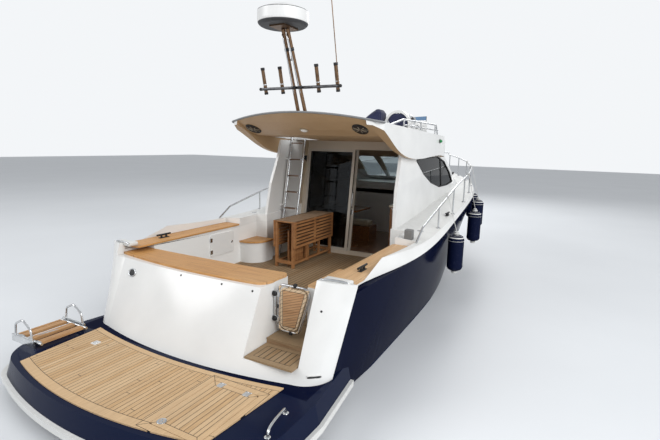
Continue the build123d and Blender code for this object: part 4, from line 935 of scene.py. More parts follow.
# a tube: a circle carried along a line, turned to stand across it at each point
def tube(line, radius, sides=14, closed=False, flat=1.0):
    line = np.asarray(line, float)
    along = np.roll(line, -1, 0) - np.roll(line, 1, 0) if closed else np.gradient(line, axis=0)
    along /= np.linalg.norm(along, axis=1)[:, None]
    guide = np.eye(3)[int(np.argmin(np.abs(along).mean(0)))]
    first = np.cross(along, guide)
    first /= np.linalg.norm(first, axis=1)[:, None]
    second = flat * np.cross(along, first)
    angle = np.linspace(0, 2 * np.pi, sides, endpoint=False)[None, :, None]
    radii = np.broadcast_to(np.asarray(radius, float), (len(line),))[:, None, None]
    ring = np.cos(angle) * first[:, None, :] + np.sin(angle) * second[:, None, :]
    points = (line[:, None, :] + radii * ring).reshape(-1, 3)
    if closed:
        return points, gridFaces(len(line), sides, True, True)[:, ::-1].tolist()
    return points, [face[::-1] for face in cappedFaces(len(line), sides)]


# a lathe: a profile of radius and height carried round an axis, its circle squashed to two half-widths
def lathe(profile, centre, axis=(0, 0, 1), sides=32, squash=(1.0, 1.0)):
    profile = np.asarray(profile, float)
    axis = unit(np.asarray(axis, float))
    guide = np.array((0.0, 0.0, 1.0)) if abs(axis[2]) < 0.9 else np.array((1.0, 0.0, 0.0))
    first = unit(np.cross(guide, axis))
    second = np.cross(axis, first)
    circle = ellipse((0, 0, 0), squash[0] * first, squash[1] * second, sides)
    points = profile[:, 0, None, None] * circle[None] + profile[:, 1, None, None] * axis + np.asarray(centre)
    return points.reshape(-1, 3), cappedFaces(len(profile), sides)


# a soft box: a sphere whose sines and cosines are raised to a low power, so that it fills its box with round edges
def softBox(low, high, power=0.28, rows=24, columns=36):
    low, high = np.asarray(low, float), np.asarray(high, float)
    tilt = np.linspace(-np.pi / 2, np.pi / 2, rows)[:, None]
    turn = np.linspace(0, 2 * np.pi, columns, endpoint=False)[None, :]
    wide = signedPower(np.cos(tilt), power)
    ball = np.stack([wide * signedPower(np.cos(turn), power), wide * signedPower(np.sin(turn), power),
                     signedPower(np.sin(tilt), power) * np.ones_like(turn)], -1)
    points = ((low + high) / 2 + ball * (high - low) / 2).reshape(-1, 3)
    return points, gridFaces(rows, columns, False, True).tolist()


# a shape turned about a line through a centre, by degrees
def turned(shape, centre, axis, degrees):
    points, faces = shape
    spin = np.array(Matrix.Rotation(math.radians(degrees), 3, axis))
    centre = np.asarray(centre, float)
    return (points - centre) @ spin.T + centre, faces


# a shape mirrored to the other side of the boat, its faces turned back outwards
def otherSide(shape):
    points, faces = shape
    return points * np.array((1, -1, 1)), [list(face)[::-1] for face in faces]


# where a line meets a CAD node, with the surface's direction there
def touch(node, start, along):
    _, place, normal, _ = nodes[node].ray_cast(Vector(start), Vector(along).normalized())
    return np.array(place), np.array(normal)


lidTop = 0.412   # top of the platform's teak and of the hatch lid

# fittings of the stern and platform
stern = {
    "hawse": {"y": (1.06, -1.02), "z": 1.0, "radii": (0.062, 0.042), "tube": 0.008},
    "vent": {"y": -1.43, "z": 0.47, "half": 0.05, "lip": 0.0055,
             "radii": (0.0036, 0.0084, 0.0096, 0.0096, 0.0096, 0.0096, 0.0096, 0.0084, 0.0036)},
    "handle": {"ends": ((-0.53, -1.50), (-0.22, -1.45)), "z": 0.40, "height": 0.055, "tube": 0.011},
    "plate": {"place": (-0.214, 0.92), "half": 0.0375, "ring": 0.02},
}


def makeSternFittings():
    hawse, vent, handle, plate = stern["hawse"], stern["vent"], stern["handle"], stern["plate"]
    bright, hawseShades = [], []
    wide, high = hawse["radii"]
    for y in hawse["y"]:
        place, normal = touch("transom", (-1.5, y, hawse["z"]), (1, 0, 0))
        side = unit(np.cross((0, 0, 1), normal))
        ring = ellipse(place + normal * 0.004, wide * side, high * np.cross(normal, side), 40)
        bright.append(tube(ring, hawse["tube"], 12, True))
        # painted shade: a black disc fills each ring, for the dark inside of the pipe
        hawseShades.append(lathe([(0.001, 0.0035), (0.8, 0.003), (0.97, 0.0008)], place, normal, 40, (wide, high)))
    (ax, ay), (bx, by) = handle["ends"]
    z, height = handle["z"], handle["height"]
    bow = [(ax, ay, z - 0.002), (ax + 0.01, ay, z + height * 0.7), (ax + 0.05, ay + 0.01, z + height),
           ((ax + bx) / 2, (ay + by) / 2, z + height * 1.12), (bx - 0.05, by - 0.01, z + height),
           (bx - 0.01, by, z + height * 0.7), (bx, by, z - 0.002)]
    grip = [tube(smoothLine(bow), handle["tube"], 14)]
    for x, y in handle["ends"]:
        grip.append(lathe([(0.002, 0.006), (0.024, 0.005), (0.027, 0.0)], (x, y, z), (0, 0, 1), 24))
    join("sternFittings", bright + grip + [otherSide(shape) for shape in grip], "steel")
    join("hawseMouths", hawseShades, "black")
    (px, py), half, radius = plate["place"], plate["half"], plate["ring"]
    pad = softBox((px - half, py - half, lidTop - 0.004), (px + half, py + half, lidTop + 0.006), 0.18)
    join("deckPlate", [pad], "whiteVinyl")
    ring = ellipse((px, py, lidTop + 0.008), (radius, 0, 0), (0, radius, 0), 28)
    join("deckPlateRing", [tube(ring, 0.003, 10, True)], "steel")
    (first, outward), (second, _) = [touch("transom", (-1.5, vent["y"] + step, vent["z"]), (1, 0, 0))
                                     for step in (-vent["half"], vent["half"])]
    # painted shade: a black bar stands in for the dark opening of the slot
    slot = np.linspace(first, second, len(vent["radii"])) + outward * 0.002
    join("sternVent", [tube(slot, np.array(vent["radii"]), 12)], "black")
    lip = smoothLine([first + (0, 0, 0.014), (first + second) / 2 + (0, 0, 0.017), second + (0, 0, 0.014)])
    join("sternVentLip", [tube(lip + outward * 0.003, vent["lip"], 10)], "whiteVinyl")


makeSternFittings()
print("stern fittings")


# platform hatch: a lift ring's bezel, and two hinges whose barrels lie on the joint's axis
lidFittings = {"bezel": (-0.79, -0.71), "hinges": (-1.03, -0.75), "axisX": -0.150, "leafX": (-0.215, -0.155),
               "halfLeaf": 0.03, "halfBarrel": 0.032, "barrel": 0.0040}


def makeLidFittings():
    bezel = lathe([(0.024, 0.0022), (0.036, 0.0022), (0.039, 0.0)], (*lidFittings["bezel"], lidTop), (0, 0, 1), 36)
    join("lidBezel", [bezel], "steel", "aft_hatch")
    (aft, fore), half, length = lidFittings["leafX"], lidFittings["halfLeaf"], lidFittings["halfBarrel"]
    hinges = []
    for y in lidFittings["hinges"]:
        hinges.append(softBox((aft, y - half, lidTop - 0.002), (fore, y + half, lidTop + 0.0035), 0.15))
        axis = [(lidFittings["axisX"], y + step, lidTop) for step in (-length, 0.0, length)]
        hinges.append(tube(axis, lidFittings["barrel"], 12))
    join("lidHinges", hinges, "steel", "aft_hatch")


makeLidFittings()


# flybridge overhang: speakers, dome light and the grey strip on its aft edge
overhang = {"speakers": (-0.824, 0.886), "speakerX": 2.39, "radii": (0.100, 0.135), "light": (2.43, 0.044),
            "stripRadius": 0.0135}
# profiles as shares of a radius, and heights in metres
speakerRim = ((0.86, 0.011), (0.93, 0.017), (1.0, 0.011), (1.03, -0.002))
speakerRings = ((0.02, 0.004), (0.12, 0.010), (0.3, 0.011), (0.34, 0.005), (0.4, 0.010), (0.5, 0.011),
                (0.54, 0.006), (0.62, 0.011), (0.72, 0.011), (0.77, 0.006), (0.87, 0.012))


# z of the lip's lower edge falls with the square of y; its aft edge is an arc, then a short quarter into the side
def overhangEdge():
    y = np.linspace(0, 1.075, 14)
    x = 1.99 + 0.20 * (y / 1.075) ** 2
    turn = np.linspace(0, 1, 7)[1:]
    y = np.concatenate([y, 1.075 + 0.09 * np.sin(turn * np.pi / 2)])
    x = np.concatenate([x, 2.19 + 0.17 * (1 - np.cos(turn * np.pi / 2))])
    z = 2.899 - 0.115 * (y / 1.165) ** 2
    half = np.stack([x - 0.002, y + 0.001, z], -1)
    return np.vstack([half[::-1], half[1:] * (1, -1, 1)])


def makeOverhang():
    rims, grilles, spokes = [], [], []
    wide, high = overhang["radii"]
    for y in overhang["speakers"]:
        place, normal = touch("flybridge", (overhang["speakerX"], y, 1.5), (0, 0, 1))
        rims.append(lathe(speakerRim, place, normal, 48, (wide, high)))
        grilles.append(lathe(speakerRings, place, normal, 48, (wide, high)))
        across = unit(np.cross((0, 0, 1), normal)) if abs(normal[2]) < 0.95 else np.array((0.0, 1.0, 0.0))
        other = np.cross(normal, across)
        for angle in np.radians(np.arange(0, 360, 45)):
            way = np.cos(angle) * across * high + np.sin(angle) * other * wide
            spokes.append(tube(place + normal * 0.013 + way * np.linspace(0.16, 0.86, 6)[:, None], 0.0035, 8))
    join("speakerRims", rims, "black")
    join("speakerGrilles", grilles, "speaker")
    join("speakerSpokes", spokes, "piping")
    place, normal = touch("flybridge", (*overhang["light"], 1.5), (0, 0, 1))
    join("domeLightRim", [lathe([(0.045, 0.010), (0.058, 0.010), (0.064, 0.0)], place, normal, 40)], "piping")
    dome = [(0.002, 0.026), (0.025, 0.023), (0.042, 0.016), (0.049, 0.008)]
    join("domeLight", [lathe(dome, place, normal, 40)], "lamp")
    join("overhangStrip", [tube(overhangEdge(), overhang["stripRadius"], 12)], "greyTrim")


makeOverhang()
print("overhang")


# side windows: a black bead round each pane and the dark post between its two lights
cabinSide = {"footY": 1.150, "footZ": 1.100, "lean": math.tan(math.radians(3.0))}
sidePane = ((3.985, 2.282), (4.38, 2.05), (4.82, 1.88), (5.39, 1.765), (6.00, 1.76), (6.44, 1.80), (6.18, 2.01),
            (5.76, 2.225), (5.29, 2.32), (4.45, 2.31))   # x and z of its corners
panePost = {"foot": (5.575, 1.765), "head": (5.495, 2.28), "radius": 0.020}


# half-width of the cabin at a height: its side leans inwards in a straight line
def cabinSideY(z):
    return cabinSide["footY"] - (z - cabinSide["footZ"]) * cabinSide["lean"]


def makeSideWindows():
    corners = np.array([(x, cabinSideY(z) - 0.004, z) for x, z in sidePane])
    bead = tube(sidesOf(corners, 14), 0.011, 10, True)
    foot, head = ((x, cabinSideY(z) - 0.008, z) for x, z in (panePost["foot"], panePost["head"]))
    post = tube(np.linspace(foot, head, 8), panePost["radius"], 12, flat=0.45)
    join("sideWindowBeads", [bead, otherSide(bead)], "black")
    join("sideWindowPosts", [post, otherSide(post)], "black")


makeSideWindows()


# saloon door: a pull and a lock on the sliding leaf, raked with it about its foot
doorRake = 8.0   # degrees
doorPull = {"x": 4.001, "y": 0.066, "low": 1.42, "high": 1.68, "reach": 0.036, "radius": 0.009}
doorLock = {"low": (3.999, 0.048, 1.30), "high": (4.008, 0.084, 1.39), "foot": (3.94, 0, 0.6)}


def makeDoorPull():
    x, y, low, high, reach = (doorPull[key] for key in ("x", "y", "low", "high", "reach"))
    corners = [(x, low), (x - reach * 0.8, low + 0.01), (x - reach, low + 0.07),
               (x - reach, high - 0.07), (x - reach * 0.8, high - 0.01), (x, high)]
    slope = math.tan(math.radians(doorRake))
    pull = smoothLine([(place + (z - doorLock["foot"][2]) * slope, y, z) for place, z in corners])
    join("doorPull", [tube(pull, doorPull["radius"], 12)], "steel", "door")
    lock = turned(softBox(doorLock["low"], doorLock["high"], 0.2), doorLock["foot"], "Y", doorRake)
    join("doorLock", [lock], "steel", "door")


makeDoorPull()
print("windows and door")


# mast: clamps, a steel strip up its aft side as a painted highlight of the pole's bright edge, the radome's seam band,
# and a masthead light
mast = {"foot": (2.30, 2.902), "top": (1.89, 3.88), "footY": 0.055, "topY": 0.033, "topClampZ": 3.66,
        "light": (2.055, 0.0, 3.545), "band": (1.84, 0, 3.896)}
rack = {"x": 2.209, "z": 3.225, "halfY": 0.62, "holders": (-0.558, -0.279, 0.279, 0.558), "low": (0.054, 3.165),
        "high": (-0.036, 3.495), "holderRadius": 0.024, "collars": (0.070, 0.125)}
# profiles: radius and height
mastFoot = ((0.026, 0.030), (0.030, 0.026), (0.032, 0.008), (0.050, 0.006), (0.052, 0.0))
mastClamp = ((0.0255, -0.02), (0.0285, -0.018), (0.0285, 0.018), (0.0255, 0.02))
mastLamp = ((0.002, 0.0), (0.020, 0.0), (0.020, 0.010), (0.016, 0.012), (0.016, 0.040), (0.020, 0.042),
            (0.020, 0.050), (0.002, 0.054))
radomeRing = ((0.305, 0.160), (0.3085, 0.162), (0.3085, 0.168), (0.305, 0.170))


def makeMastFittings():
    (xA, zA), (xB, zB) = mast["foot"], mast["top"]
    highlightStrips, feet, clamps = [], [], []
    for side in (-1, 1):
        # painted highlight: a bright strip along each pole's aft edge
        start = np.array((xA - 0.023, side * mast["footY"], zA + 0.03))
        end = np.array((xB - 0.018, side * mast["topY"], zB - 0.06))
        highlightStrips.append(tube(np.linspace(start, end, 12), 0.0075, 10))
        feet.append(lathe(mastFoot, (xA, side * mast["footY"], zA - 0.002), (0, 0, 1), 28))
        for z in (rack["z"], mast["topClampZ"]):
            t = (z - zA) / (zB - zA)
            y = mast["footY"] + t * (mast["topY"] - mast["footY"])
            clamps.append(lathe(mastClamp, (xA + t * (xB - xA), side * y, z), (xB - xA, 0, zB - zA), 24))
    join("mastStrips", highlightStrips, "steel")
    join("mastFeet", feet, "steel")
    join("mastClamps", clamps, "black")
    join("radomeBand", [lathe(radomeRing, mast["band"], (0, 0, 1), 64)], "greyTrim")
    x, y, z = mast["light"]
    join("mastLight", [lathe(mastLamp, (x, y, z), (0, 0, 1), 24)], "whiteVinyl")
    bracket = tube([(x - 0.015, 0.035, z), (x, 0.0, z), (x - 0.015, -0.035, z)], 0.008, 10)
    join("mastLightBracket", [bracket], "steel")


def makeRackFittings():
    (lowX, lowZ), (highX, highZ) = rack["low"], rack["high"]
    r = rack["holderRadius"]
    rim = [(r + 0.001, -0.028), (r + 0.004, -0.024), (r + 0.004, 0.002), (r + 0.001, 0.006), (r * 0.62, 0.006)]
    plug = [(r * 0.5, -0.004), (r + 0.002, -0.004), (r + 0.003, 0.022), (r + 0.0005, 0.024)]
    collar = [(r + 0.0005, -0.008), (r + 0.004, -0.006), (r + 0.004, 0.006), (r + 0.0005, 0.008)]
    endCap = [(0.004, 0.012), (0.014, 0.011), (0.0205, 0.004), (0.0205, -0.028), (0.0195, -0.030)]
    caps, collars = [], []
    for y in rack["holders"]:
        low, high = np.array((rack["x"] + lowX, y, lowZ)), np.array((rack["x"] + highX, y, highZ))
        way = unit(high - low)
        caps += [lathe(rim, high, way, 28), lathe(plug, low, way, 28)]
        collars += [lathe(collar, low + way * step, way, 28) for step in rack["collars"]]
    join("rodHolderCaps", caps, "black")
    join("rodHolderCollars", collars, "steel")
    ends = [lathe(endCap, (rack["x"], side * rack["halfY"], rack["z"]), (0, side, 0), 24) for side in (-1, 1)]
    join("rackEndCaps", ends, "black")


makeMastFittings()
makeRackFittings()
print("mast and rack")


# padded pieces: a soft box whose faces are crowned and whose sides draw in, blown up as cloth, then sewn
pads = [   # name, low corner, high corner, thin axis, finish, axis across the seams, seams, cap on a point's move
    ("dinetteSeatPad", (4.21, 0.65, 0.9003), (5.49, 0.95, 1.01), 2, "cream", 0, (4.64, 5.07), 0.012),
    ("dinetteBackPad", (4.21, 0.96, 0.9003), (5.49, 1.066, 1.33), 1, "cream", 0, (4.64, 5.07), 0.012),
    ("dinetteEndPad", (5.11, 0.16, 0.9003), (5.37, 0.64, 1.01), 2, "cream", 1, (0.40,), 0.012),
    ("helmSeatPad", (4.97, -0.95, 1.1753), (5.39, -0.49, 1.285), 2, "cream", 1, (-0.72,), 0.012),
    ("helmBackPad", (4.94, -0.95, 1.2853), (5.04, -0.49, 1.735), 0, "cream", 2, (1.43, 1.59), 0.012),
    ("flySeatPad", (4.1703, -0.895, 2.7903), (4.34, -0.495, 2.86), 2, "canvas", 1, (-0.76, -0.63), 0.008),
]
# room of the flybridge seat's back pad, and the arch inside it, which starts smaller
flyBack = {"low": (4.115, -0.878, 2.80), "high": (4.165, -0.512, 3.034), "archLow": (4.119, -0.872, 2.80),
           "archHigh": (4.161, -0.518, 3.028), "cap": 0.006}
padReplaces = {"dinette_cushions": ("dinetteSeatPad", "dinetteBackPad", "dinetteEndPad"),
               "helm_cushions": ("helmSeatPad", "helmBackPad"), "flybridge_cushions": ("flySeatPad", "flyBackPad")}
blow = {"pressure": 4.0, "frames": 20, "fineVoxel": 0.006, "voxel": 0.010}


# the middle, the half-sizes and the two wide axes of a pad's room
def roomOf(low, high, thin):
    low, high = np.array(low), np.array(high)
    return (low + high) / 2, (high - low) / 2, [axis for axis in range(3) if axis != thin]


# thickness falls away towards the edges as the fourth power; each side draws in between its corners as a cosine
def padShape(low, high, thin, drawIn=0.010):
    middle, half, (first, second) = roomOf(low, high, thin)
    points, faces = softBox((-1, -1, -1), (1, 1, 1), 0.2, 32, 60)
    u, v = points[:, first].copy(), points[:, second].copy()
    crown = 1 - 0.26 * np.maximum(np.abs(u), np.abs(v)) ** 4
    points[:, first] = u * (1 - drawIn / half[first] * (0.4 + np.cos(v * np.pi / 2)))
    points[:, second] = v * (1 - drawIn / half[second] * (0.4 + np.cos(u * np.pi / 2)))
    points[:, thin] *= crown * (1 - 0.006 / half[thin])
    return middle + points * half, faces


# the back pad inside the fly seat's hoop: an arch, straight below and half an ellipse above, swollen as a lens
def archShape(low, high):
    (xLow, yLow, zLow), (xHigh, yHigh, zHigh) = low, high
    middleY, halfY = (yLow + yHigh) / 2, (yHigh - yLow) / 2
    turn = np.linspace(0, 2 * np.pi, 72, endpoint=False)
    side = signedPower(np.cos(turn), 0.5)
    rise = np.where(np.sin(turn) > 0, signedPower(np.sin(turn), 0.85), signedPower(np.sin(turn), 0.25))
    centreZ = zLow + 0.42 * (zHigh - zLow)
    lift = rise * np.where(rise > 0, zHigh - centreZ, centreZ - zLow)
    across = np.linspace(-1, 1, 15)
    size = np.maximum(1 - across ** 2, 0.0) ** 0.28
    size[0] = size[-1] = 0.05
    size = size[:, None]
    x = (xLow + xHigh) / 2 + (xHigh - xLow) / 2 * across[:, None] + 0 * side
    points = np.stack([x, middleY + side * halfY * size, centreZ + lift * size], -1).reshape(-1, 3)
    return points, cappedFaces(len(across), len(turn))


# a mesh's points as rows of x, y and z
def readPoints(mesh):
    flat = np.empty(len(mesh.vertices) * 3)
    mesh.vertices.foreach_get("co", flat)
    return flat.reshape(-1, 3)


# a piece's mesh as its modifiers leave it, in place of the mesh and the modifiers
def applyModifiers(item):
    graph = bpy.context.evaluated_depsgraph_get()
    mesh = bpy.data.meshes.new_from_object(item.evaluated_get(graph))
    item.modifiers.clear()
    item.data = mesh
    return mesh


# a channel is pressed in along each seam: depth falls off as a bell curve either side of it
def pressSeams(points, middle, thin, along, seams, depth=0.006, width=0.009):
    for place in seams:
        bell = np.exp(-((points[:, along] - place) / width) ** 2)
        points[:, thin] += depth * bell * np.sign(middle[thin] - points[:, thin])
    return points


# a pad is remeshed and blown up as cloth, its points move out by at most the cap, and its seams are pressed
def makePads():
    rows = [(addPiece(name, *padShape(low, high, thin), label, "boat"), low, high, thin, label, along, seams, cap)
            for name, low, high, thin, label, along, seams, cap in pads]
    back = addPiece("flyBackPad", *archShape(flyBack["archLow"], flyBack["archHigh"]), "canvas", "boat")
    rows.append((back, flyBack["low"], flyBack["high"], 0, "canvas", 2, (), flyBack["cap"]))
    for item, low, high, *_ in rows:
        even = item.modifiers.new("even", "REMESH")
        small = high[0] - low[0] < 0.3 and high[1] - low[1] < 0.5
        even.mode, even.voxel_size = "VOXEL", blow["fineVoxel"] if small else blow["voxel"]
    for item, *_ in rows:
        applyModifiers(item)
    for item, *_ in rows:
        air = item.modifiers.new("air", "CLOTH")
        air.settings.use_pressure = True
        air.settings.uniform_pressure_force = blow["pressure"]
        air.settings.effector_weights.gravity = 0.0
        air.point_cache.frame_start, air.point_cache.frame_end = 1, blow["frames"]
    for moment in range(1, blow["frames"] + 1):
        bpy.context.scene.frame_set(moment)
    graph = bpy.context.evaluated_depsgraph_get()
    for item, low, high, thin, label, along, seams, cap in rows:
        points = readPoints(item.data)
        move = readPoints(item.evaluated_get(graph).data) - points
        reach = np.linalg.norm(move, axis=1)[:, None]
        points = points + move * np.minimum(1, cap / np.maximum(reach, 1e-9))
        points = np.clip(points, np.array(low) + 0.001, np.array(high) - 0.001)
        points = pressSeams(points, roomOf(low, high, thin)[0], thin, along, seams)
        item.modifiers.clear()
        item.data.vertices.foreach_set("co", points.ravel())
        item.data.update()
        item.data.polygons.foreach_set("use_smooth", np.ones(len(item.data.polygons), bool))
        more = item.modifiers.new("rounder", "SUBSURF")
        more.levels = more.render_levels = 1
        applyModifiers(item)
        item.data.materials.clear()
        item.data.materials.append(finish[label].material)
    bpy.context.scene.frame_set(1)
    for node, names in padReplaces.items():
        for name in names:
            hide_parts(node)


# piping runs round a pad's edge at two levels of its thickness, found by rays from outside
def makePiping(count=120, levels=(-0.45, 0.45)):
    for name, low, high, thin, label, *_ in pads:
        item = bpy.data.objects[name]
        middle, half, (first, second) = roomOf(low, high, thin)
        turn = np.linspace(0, 2 * np.pi, count, endpoint=False)
        way = np.zeros((count, 3))
        way[:, first] = signedPower(np.cos(turn), 0.2) * half[first]
        way[:, second] = signedPower(np.sin(turn), 0.2) * half[second]
        lines = []
        for level in levels:
            starts = middle + way * 1.05
            starts[:, thin] += level * half[thin]
            rays = [item.ray_cast(Vector(start), Vector(-step).normalized()) for start, step in zip(starts, way)]
            lines.append(tube(np.array([place for hit, place, _, _ in rays if hit]), 0.0032, 8, True))
        join(name + "Piping", lines, "piping" if label == "cream" else "canvas")


makePads()
makePiping()
print("padded pieces")


# the loose cover over the fly bench, in metres and shares: a flat top rounded into hanging sides
cover = {"low": (3.96, -0.46, 2.643), "high": (4.33, -0.11, 3.108), "folds": 11, "foldDepth": 0.020,
         "wall": 0.0022, "lean": 0.17, "square": 0.42, "slopeFrom": 0.10, "rows": 46, "columns": 132}


# out runs from the crown to the hem: the radius grows over its first third, the fall over the rest,
# and the folds are a sine round the cover whose depth grows with the fall
def makeCover():
    low, high = np.array(cover["low"]), np.array(cover["high"])
    middle, half = (low + high) / 2, (high - low) / 2
    rows, columns, power, rim = cover["rows"], cover["columns"], cover["square"], cover["slopeFrom"]
    out = np.linspace(0, 1, rows)[:, None]
    turn = np.linspace(0, 2 * np.pi, columns, endpoint=False)[None, :]
    ring = np.clip(out / 0.36, 0, 1) ** 0.9
    fall = np.clip((out - 0.26) / 0.74, 0, 1)
    shoulder = 0.93 + 0.07 * np.clip(fall * 3, 0, 1)
    fold = 0.5 + 0.5 * np.sin(turn * cover["folds"] + 1.3 * np.sin(turn * 2 + 0.4)) * np.cos(turn * 3.0 + 1.0)
    draw = 1 - cover["foldDepth"] / half[0] * fold * fall ** 0.8 * 1.6 - 0.05 * np.sin(fall * np.pi)
    x = middle[0] + half[0] * signedPower(np.cos(turn), power) * ring * shoulder * draw
    y = middle[1] + half[1] * signedPower(np.sin(turn), power) * ring * shoulder * draw
    sag = 0.014 * np.cos(turn * 2 + 0.6) * ring * (1 - fall) + 0.03 * (1 - (1 - ring) ** 2) * (1 - fall)
    slope = np.clip((y - low[1] - rim) / (high[1] - low[1] - rim), 0, 1)
    edge = np.clip((low[1] + rim - y) / rim, 0, 1)
    peak = high[2] - 0.006 - cover["lean"] * slope ** 1.1 - 0.03 * edge ** 2
    z = peak - sag * 0.6 - (peak - low[2] - 0.004) * fall ** 1.15 - 0.012 * fold * fall ** 3
    points = np.stack([x, y, np.clip(z, low[2], high[2])], -1).reshape(-1, 3)
    points = np.vstack([points[columns:], points[:columns].mean(0)])
    faces = gridFaces(rows - 1, columns, False, True)[:, ::-1].tolist()
    crown = len(points) - 1
    faces += [[crown, index, (index + 1) % columns] for index in range(columns)]
    item = addPiece("benchCover", points, faces, "canvas", "boat", ("bench_cover",))
    wall = item.modifiers.new("cloth", "SOLIDIFY")
    wall.thickness, wall.offset = cover["wall"], -1.0


makeCover()
print("bench cover")


# the sheer and the bow rail above it, in metres: x, half-width, height; and x, rise above the sheer
sheer = np.array([(0, 1.640, 1.275), (2.2, 1.665, 1.290), (4.2, 1.660, 1.385), (5.8, 1.605, 1.550),
                  (7.2, 1.405, 1.665), (8.4, 0.970, 1.755), (9.3, 0.445, 1.835), (9.8, 0.058, 1.895)])
railRise = np.array([(2.45, 0.0), (2.70, 0.145), (3.5, 0.285), (4.7, 0.44), (5.8, 0.45), (9.45, 0.45)])
railBends = np.unique(np.concatenate([railRise[:, 0], (6.9, 8.0, 8.9)]))
railInset = 0.040
postPlaces = (3.5, 4.45, 5.4, 6.3, 7.2, 8.0, 8.7, 9.35)


# half-width and height of the sheer at x, straight between its rows
def sheerAt(x):
    return np.interp(x, sheer[:, 0], sheer[:, 1]), np.interp(x, sheer[:, 0], sheer[:, 2])


# half-width and height of the rail at x, on the straight run between its bends
def railAt(x):
    y, z = sheerAt(railBends)
    z = z + np.interp(railBends, railRise[:, 0], railRise[:, 1])
    return float(np.interp(x, railBends, y - railInset)), float(np.interp(x, railBends, z))


# fenders: a collar and eye at the top, a line of three strands up to the rail, and a hitch round it
fenders = {
    "places": ((4.0, 0.18), (5.75, 0.20), (7.0, 0.22), (7.9, 0.24)), "stand": 0.132, "line": 0.010, "long": 0.64,
    "hitchTurns": 3.2, "hitchRadius": 0.0192, "hitchLength": 0.034,
    "collar": ((0.046, -0.010), (0.044, -0.030), (0.020, -0.004), (0.020, 0.020), (0.030, 0.016), (0.036, 0.006)),
    "foot": ((0.036, -0.006), (0.044, 0.004), (0.046, 0.020), (0.042, 0.028)),
    "dome": ((0.1216, -0.128), (0.1216, -0.118), (0.1140, -0.073), (0.0850, -0.048), (0.0360, -0.0375),
             (0.0355, -0.002)),
}


# the line is a curve of three points that bows by 2 mm
def fenderLine(name, start, end):
    curve = bpy.data.curves.new(name, "CURVE")
    curve.dimensions = "3D"
    spline = curve.splines.new("NURBS")
    spline.points.add(2)
    for point, place in zip(spline.points, (start, (start + end) / 2 + Vector((0, 0.002, 0)), end)):
        point.co = (*place, 1)
    spline.order_u = 3
    spline.use_endpoint_u = True
    curve.bevel_depth = fenders["line"] / 2
    curve.bevel_resolution = 4
    curve.materials.append(finish["rope"].material)
    line = bpy.data.objects.new(name, curve)
    bpy.context.collection.objects.link(line)
    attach(line, "boat")
    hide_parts("fender_lines")
    return line


# the hitch is a helix that climbs along the rail's own slope at x
def fenderHitch(name, x):
    railY, railZ = railAt(x)
    nextY, nextZ = railAt(x + 0.05)
    slope = np.array((0.05, railY - nextY, nextZ - railZ)) / 0.05
    turn = np.linspace(0, fenders["hitchTurns"] * 2 * np.pi, 76)
    climb = (turn - turn.mean()) / turn.max() * fenders["hitchLength"]
    ring = np.stack([0 * turn, -np.cos(turn), np.sin(turn)], -1) * fenders["hitchRadius"]
    line = np.array((x, -railY, railZ)) + slope * climb[:, None] + ring
    return addPiece(name, *tube(line, fenders["line"] / 2, 8), "rope", "boat")


def makeFenders():
    for index, (x, drop) in enumerate(fenders["places"], 1):
        y, z = sheerAt(x)
        top = (x, -(y + fenders["stand"]), z - drop)
        base = (x, top[1], top[2] - fenders["long"])
        rounds = [lathe(fenders["collar"], top, (0, 0, 1), 28), lathe(fenders["foot"], base, (0, 0, 1), 28),
                  lathe(fenders["dome"], top, (0, 0, 1), 36)]
        join(f"fenderCollar{index}", rounds, "whiteVinyl")
        railY, railZ = railAt(x)
        start, end = Vector((x, -railY - 0.014, railZ)), Vector((x, top[1], top[2] + 0.012))
        line = fenderLine(f"fenderLine{index}", start, end)
        hitch = fenderHitch(f"fenderHitch{index}", x)


makeFenders()
print("fenders")


# rail feet: a round flange with a raised collar under each post, on both sides
railFoot = ((0.013, 0.022), (0.017, 0.020), (0.018, 0.007), (0.034, 0.005), (0.036, -0.001))
flyRailFoot = ((0.014, 0.018), (0.018, 0.016), (0.019, 0.006), (0.034, 0.004), (0.036, -0.001))
flyRailEnds = ((2.70, 1.08), (5.42, 1.02))


def makeRailFeet():
    feet, ends = [], []
    for x in postPlaces:
        for side in (-1, 1):
            place, _ = touch("deck", (x, side * (sheerAt(x)[0] - railInset), 3.5), (0, 0, -1))
            feet.append(lathe(railFoot, place, (0, 0, 1), 24))
    join("railFeet", feet, "steel")
    for side in (-1, 1):
        for x, y in flyRailEnds:
            ends.append(lathe(flyRailFoot, *touch("flybridge", (x, y * side, 2.9), (0, 0, -1)), 24))
    join("flyRailFeet", ends, "steel")


makeRailFeet()


# side gate: black latch clips on its loop, each a low and a high corner, and the two knobs of its post
gateClips = (((0.580, -1.020, 1.118), (0.620, -0.990, 1.158)), ((0.580, -0.975, 0.626), (0.620, -0.945, 0.664)),
             ((0.583, -0.820, 0.880), (0.617, -0.798, 0.920)))
postKnobs = {"y": -0.769, "z": (0.765, 1.025),
             "profile": ((0.004, -0.024), (0.024, -0.023), (0.031, -0.014), (0.032, 0.0), (0.031, 0.014),
                         (0.024, 0.023), (0.004, 0.024))}


def makeGateFittings():
    join("gateClips", [softBox(low, high, 0.3) for low, high in gateClips], "black", "gate")
    low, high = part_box("gate_post")
    x, y = (low[0] + high[0]) / 2, postKnobs["y"]
    join("gatePostKnobs", [lathe(postKnobs["profile"], (x, y, z), (0, 0, 1), 32) for z in postKnobs["z"]], "black")


makeGateFittings()
print("rail feet and gate")


# small drains and screw caps on the transom: y and z of each
drains = {"places": ((0.274, 1.10), (-0.287, 1.10), (-0.66, 1.09), (-1.40, 1.02)), "radius": 0.011,
          "profile": ((0.001, 0.0042), (0.7, 0.0040), (0.9, 0.0030), (1.0, 0.0))}


def makeDrains():
    squash = (drains["radius"], drains["radius"])
    caps = [lathe(drains["profile"], *touch("transom", (-1.5, y, z), (1, 0, 0)), 20, squash)
            for y, z in drains["places"]]
    join("transomCaps", caps, "black")


makeDrains()


